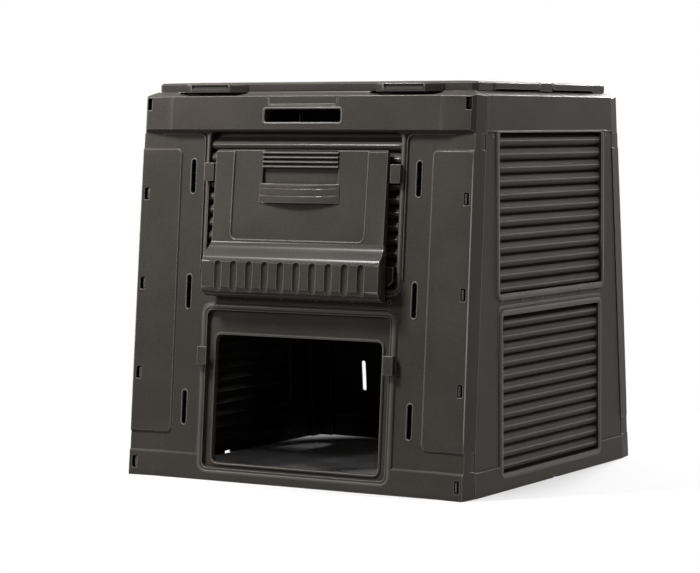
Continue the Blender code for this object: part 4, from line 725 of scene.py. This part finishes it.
def pocketed(node_name, place, lip_height):
    """The door's mesh with a flat underside to its pull and a closed finger pocket behind it."""
    bm = welded(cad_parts[node_name].data)
    for vert in bm.verts:
        drop = lip_height - vert.co.z
        if LIP_CLEAR < drop < PULL_SLANT and abs(vert.co.x) < PULL_HALF:
            vert.co.z = lip_height - drop * PULL_FLAT
    door = placed("door", mesh_from(bm, node_name))
    tools = {"UNION": crescent(place, POCKET_SKIN, BLOCK_STARTS, POCKET_DEPTH + POCKET_SKIN),
             "DIFFERENCE": crescent(place, 0.0, CUT_STARTS, POCKET_DEPTH)}
    for operation, tool in tools.items():
        step = door.modifiers.new("pocket", "BOOLEAN")
        step.operation = operation
        step.solver = "EXACT"
        step.object = tool
    mesh = applied(door)
    for extra in (door, *tools.values()):
        bpy.data.objects.remove(extra)
    return mesh


# %% [markdown]
# ## The doors' bead and grip ribs
#
# A fine bead runs down both sides of the door's sunk panel and under it, and four half-round ribs
# stand over the recess above the pull and shade it. They are swept straight across, as the
# mould has them, and cover the CAD's plainer ones.

# %% The doors
PANEL_HALF, PANEL_LOW, PANEL_RADIUS = 0.1562, 0.4888, 0.0152
BEAD_ROLL, BEAD_END = (0.004, 0.0012, -0.0007), DOOR_TOP - 0.004
RIB_HALF, RIB_TOP, RIB_PITCH, RIB_HEIGHT = 0.0872, 0.6638, 0.0092, 0.0037
RIB_ROOT, RIB_CREST, RIB_COUNT, RIB_STEPS = -0.0055, -0.0138, 4, 10


def door_bead(name, place, body):
    def on_face(across, depth, height):
        return place(across, face_depth(height) + depth, height)
    bm = bmesh.new()
    half_round(bm, on_face, hanging(PANEL_HALF, PANEL_LOW, BEAD_END, PANEL_RADIUS), BEAD_ROLL)
    piece_from(bm, name, PLASTIC, body)


def grip_ribs(name, place, body):
    bends = [math.pi * step / RIB_STEPS for step in range(RIB_STEPS + 1)]
    profile = [(RIB_ROOT + (RIB_CREST - RIB_ROOT) * math.sin(bend), RIB_HEIGHT * math.cos(bend))
               for bend in bends]
    bm = bmesh.new()
    for index in range(RIB_COUNT):
        middle = RIB_TOP - RIB_PITCH * index
        tube(bm, [[place(x, depth, middle + rise) for depth, rise in profile] for x in (-RIB_HALF, RIB_HALF)])
    piece_from(bm, name, PLASTIC, body)


for node_name, place, lip in (("front_door", on_front, PULL_LIP),
                              ("rear_door", on_rear_door, PULL_LIP - TRAVEL)):
    softened(node_name, node_name, pocketed(node_name, place, lip))
    door_bead(node_name + "_bead", place, node_name)
    grip_ribs(node_name + "_grip_ribs", place, node_name)

# %% [markdown]
# ## Camera
#
# The photograph looks a little down at the bin's front right corner from about five metres, with a
# long lens, so its uprights stay nearly parallel. The place and the angles were solved from the
# bin's corners and seams. Yaw and pitch are kept as two numbers, because they are easier to adjust
# than a rotation.

# %% The photograph's view
VIEW_FROM, VIEW_LENS = (2.5983, -4.6180, 0.725), 129.0
YAW, PITCH = math.radians(30.25), math.radians(3.75)

camera = placed("camera", bpy.data.cameras.new("camera"))
camera.data.sensor_width = 36.0
camera.data.lens = VIEW_LENS
camera.location = VIEW_FROM
ahead = Vector((-math.sin(YAW) * math.cos(PITCH), math.cos(YAW) * math.cos(PITCH), -math.sin(PITCH)))
camera.rotation_mode = "QUATERNION"
camera.rotation_quaternion = ahead.to_track_quat("-Z", "Y")
bpy.context.scene.camera = camera
print("camera", round(camera.location.length, 2), "m from the origin, lens", VIEW_LENS, "mm")

# %% [markdown]
# ## Studio lamps
#
# The key stands high and to the left, so that it lights the top of every roll and leaves its
# underside dark. A small lamp near the camera opens the front's shadows, one over the right side
# shows the slats there, one behind lights the rear, and a weak one at the foot of the side wall
# keeps that from going black. All of them are softboxes at a plain level.

# %% Lamps
# (name, where it stands, where it points, its two sides in metres, watts)
LAMPS = (("key", (-0.85, -1.4, 2.35), (-0.1, -0.2, 0.4), (0.5, 0.5), 82),
         ("front", (-1.5, -2.2, 1.2), (-0.1, -0.2, 0.5), (0.3, 0.3), 14),
         ("side", (1.6, 0.1, 2.8), (0.39, 0, 0.5), (0.3, 0.3), 62),
         ("back", (0.2, 2.6, 1.9), (0, 0.2, 0.4), (0.8, 0.5), 60),
         ("low", (2.1, -0.8, 0.4), (0.39, -0.2, 0.25), (0.4, 0.4), 2))

for name, stand, target, sides, watts in LAMPS:
    softbox = placed(name, bpy.data.lights.new(name, "AREA"))
    softbox.data.shape = "RECTANGLE"
    softbox.data.size, softbox.data.size_y = sides
    softbox.data.energy = watts
    softbox.location = stand
    softbox.rotation_mode = "QUATERNION"
    softbox.rotation_quaternion = (Vector(target) - Vector(stand)).to_track_quat("-Z", "Y")
    print(name, watts, "W")

# %% [markdown]
# ## White background
#
# The picture has a white ground that the bin still throws a shadow on. Real light bright enough
# for that would wash out the plastic. So the sky and the far floor are white only for the rays
# that the camera, a gloss or a glass sends, and dim for the light that falls on the bin. Near the
# bin the floor is pale paper, which takes the shadow, and it fades into the white further out.

# %% Sky and floor
DIM, WHITE = (0.05, 0.05, 0.05, 1), (1, 1, 1, 1)
PAPER_LIT, PAPER_SEEN = (0.4, 0.4, 0.4, 1), (0.86, 0.86, 0.86, 1)
FLOOR_HALF = 30
FADE_START, FADE_KNEE, FADE_END, KNEE_SHARE = 0.42, 0.6, 1.35, 0.55


def is_seen(tree):
    """1 for rays from the camera and for what gloss or glass shows of the studio."""
    rays = [wire(tree, "ShaderNodeLightPath", output=kind)
            for kind in ("Is Camera Ray", "Is Glossy Ray", "Is Transmission Ray")]
    return rays[0].math("MAXIMUM", rays[0].math("MAXIMUM", rays[0], rays[1]), rays[2])


def glow(tree):
    return blend_colours(tree, is_seen(tree), DIM, WHITE)


world = bpy.data.worlds.new("studio")
world.use_nodes = True
bpy.context.scene.world = world
background = world.node_tree.nodes["Background"]
background.inputs["Strength"].default_value = 1.0
glow(world.node_tree).feed(background.inputs["Color"])

floor_material, tree, shader = new_material("floor_paper")
blend_colours(tree, is_seen(tree), PAPER_LIT, PAPER_SEEN).feed(shader.inputs["Base Color"])
shader.inputs["Roughness"].default_value = 0.9
spot = wire(tree, "ShaderNodeNewGeometry", output="Position")
distance = wire(tree, "ShaderNodeVectorMath", {"operation": "LENGTH"}, (spot,), "Value")
fade = distance.ramp(FADE_START, FADE_KNEE) * KNEE_SHARE
fade = fade + distance.ramp(FADE_KNEE, FADE_END) * (1 - KNEE_SHARE)
white = wire(tree, "ShaderNodeEmission", {}, {"Color": glow(tree), "Strength": 1.0})
surface = wire(tree, "ShaderNodeMixShader", {}, (fade, Field(tree, shader.outputs["BSDF"]), white))
surface.feed(tree.nodes["Material Output"].inputs["Surface"])

floor_mesh = bpy.data.meshes.new("floor")
floor_mesh.from_pydata([(x * FLOOR_HALF, y * FLOOR_HALF, 0) for x, y in ((-1, -1), (1, -1), (1, 1), (-1, 1))],
                       [], [(0, 1, 2, 3)])
floor_mesh.materials.append(floor_material)
placed("floor", floor_mesh)
print("floor", 2 * FLOOR_HALF, "m wide, white from", FADE_END, "m")

# %% [markdown]
# ## Finish
#
# The Standard view shows colours as they are written.

# %% Finish
bpy.context.scene.view_settings.view_transform = "Standard"
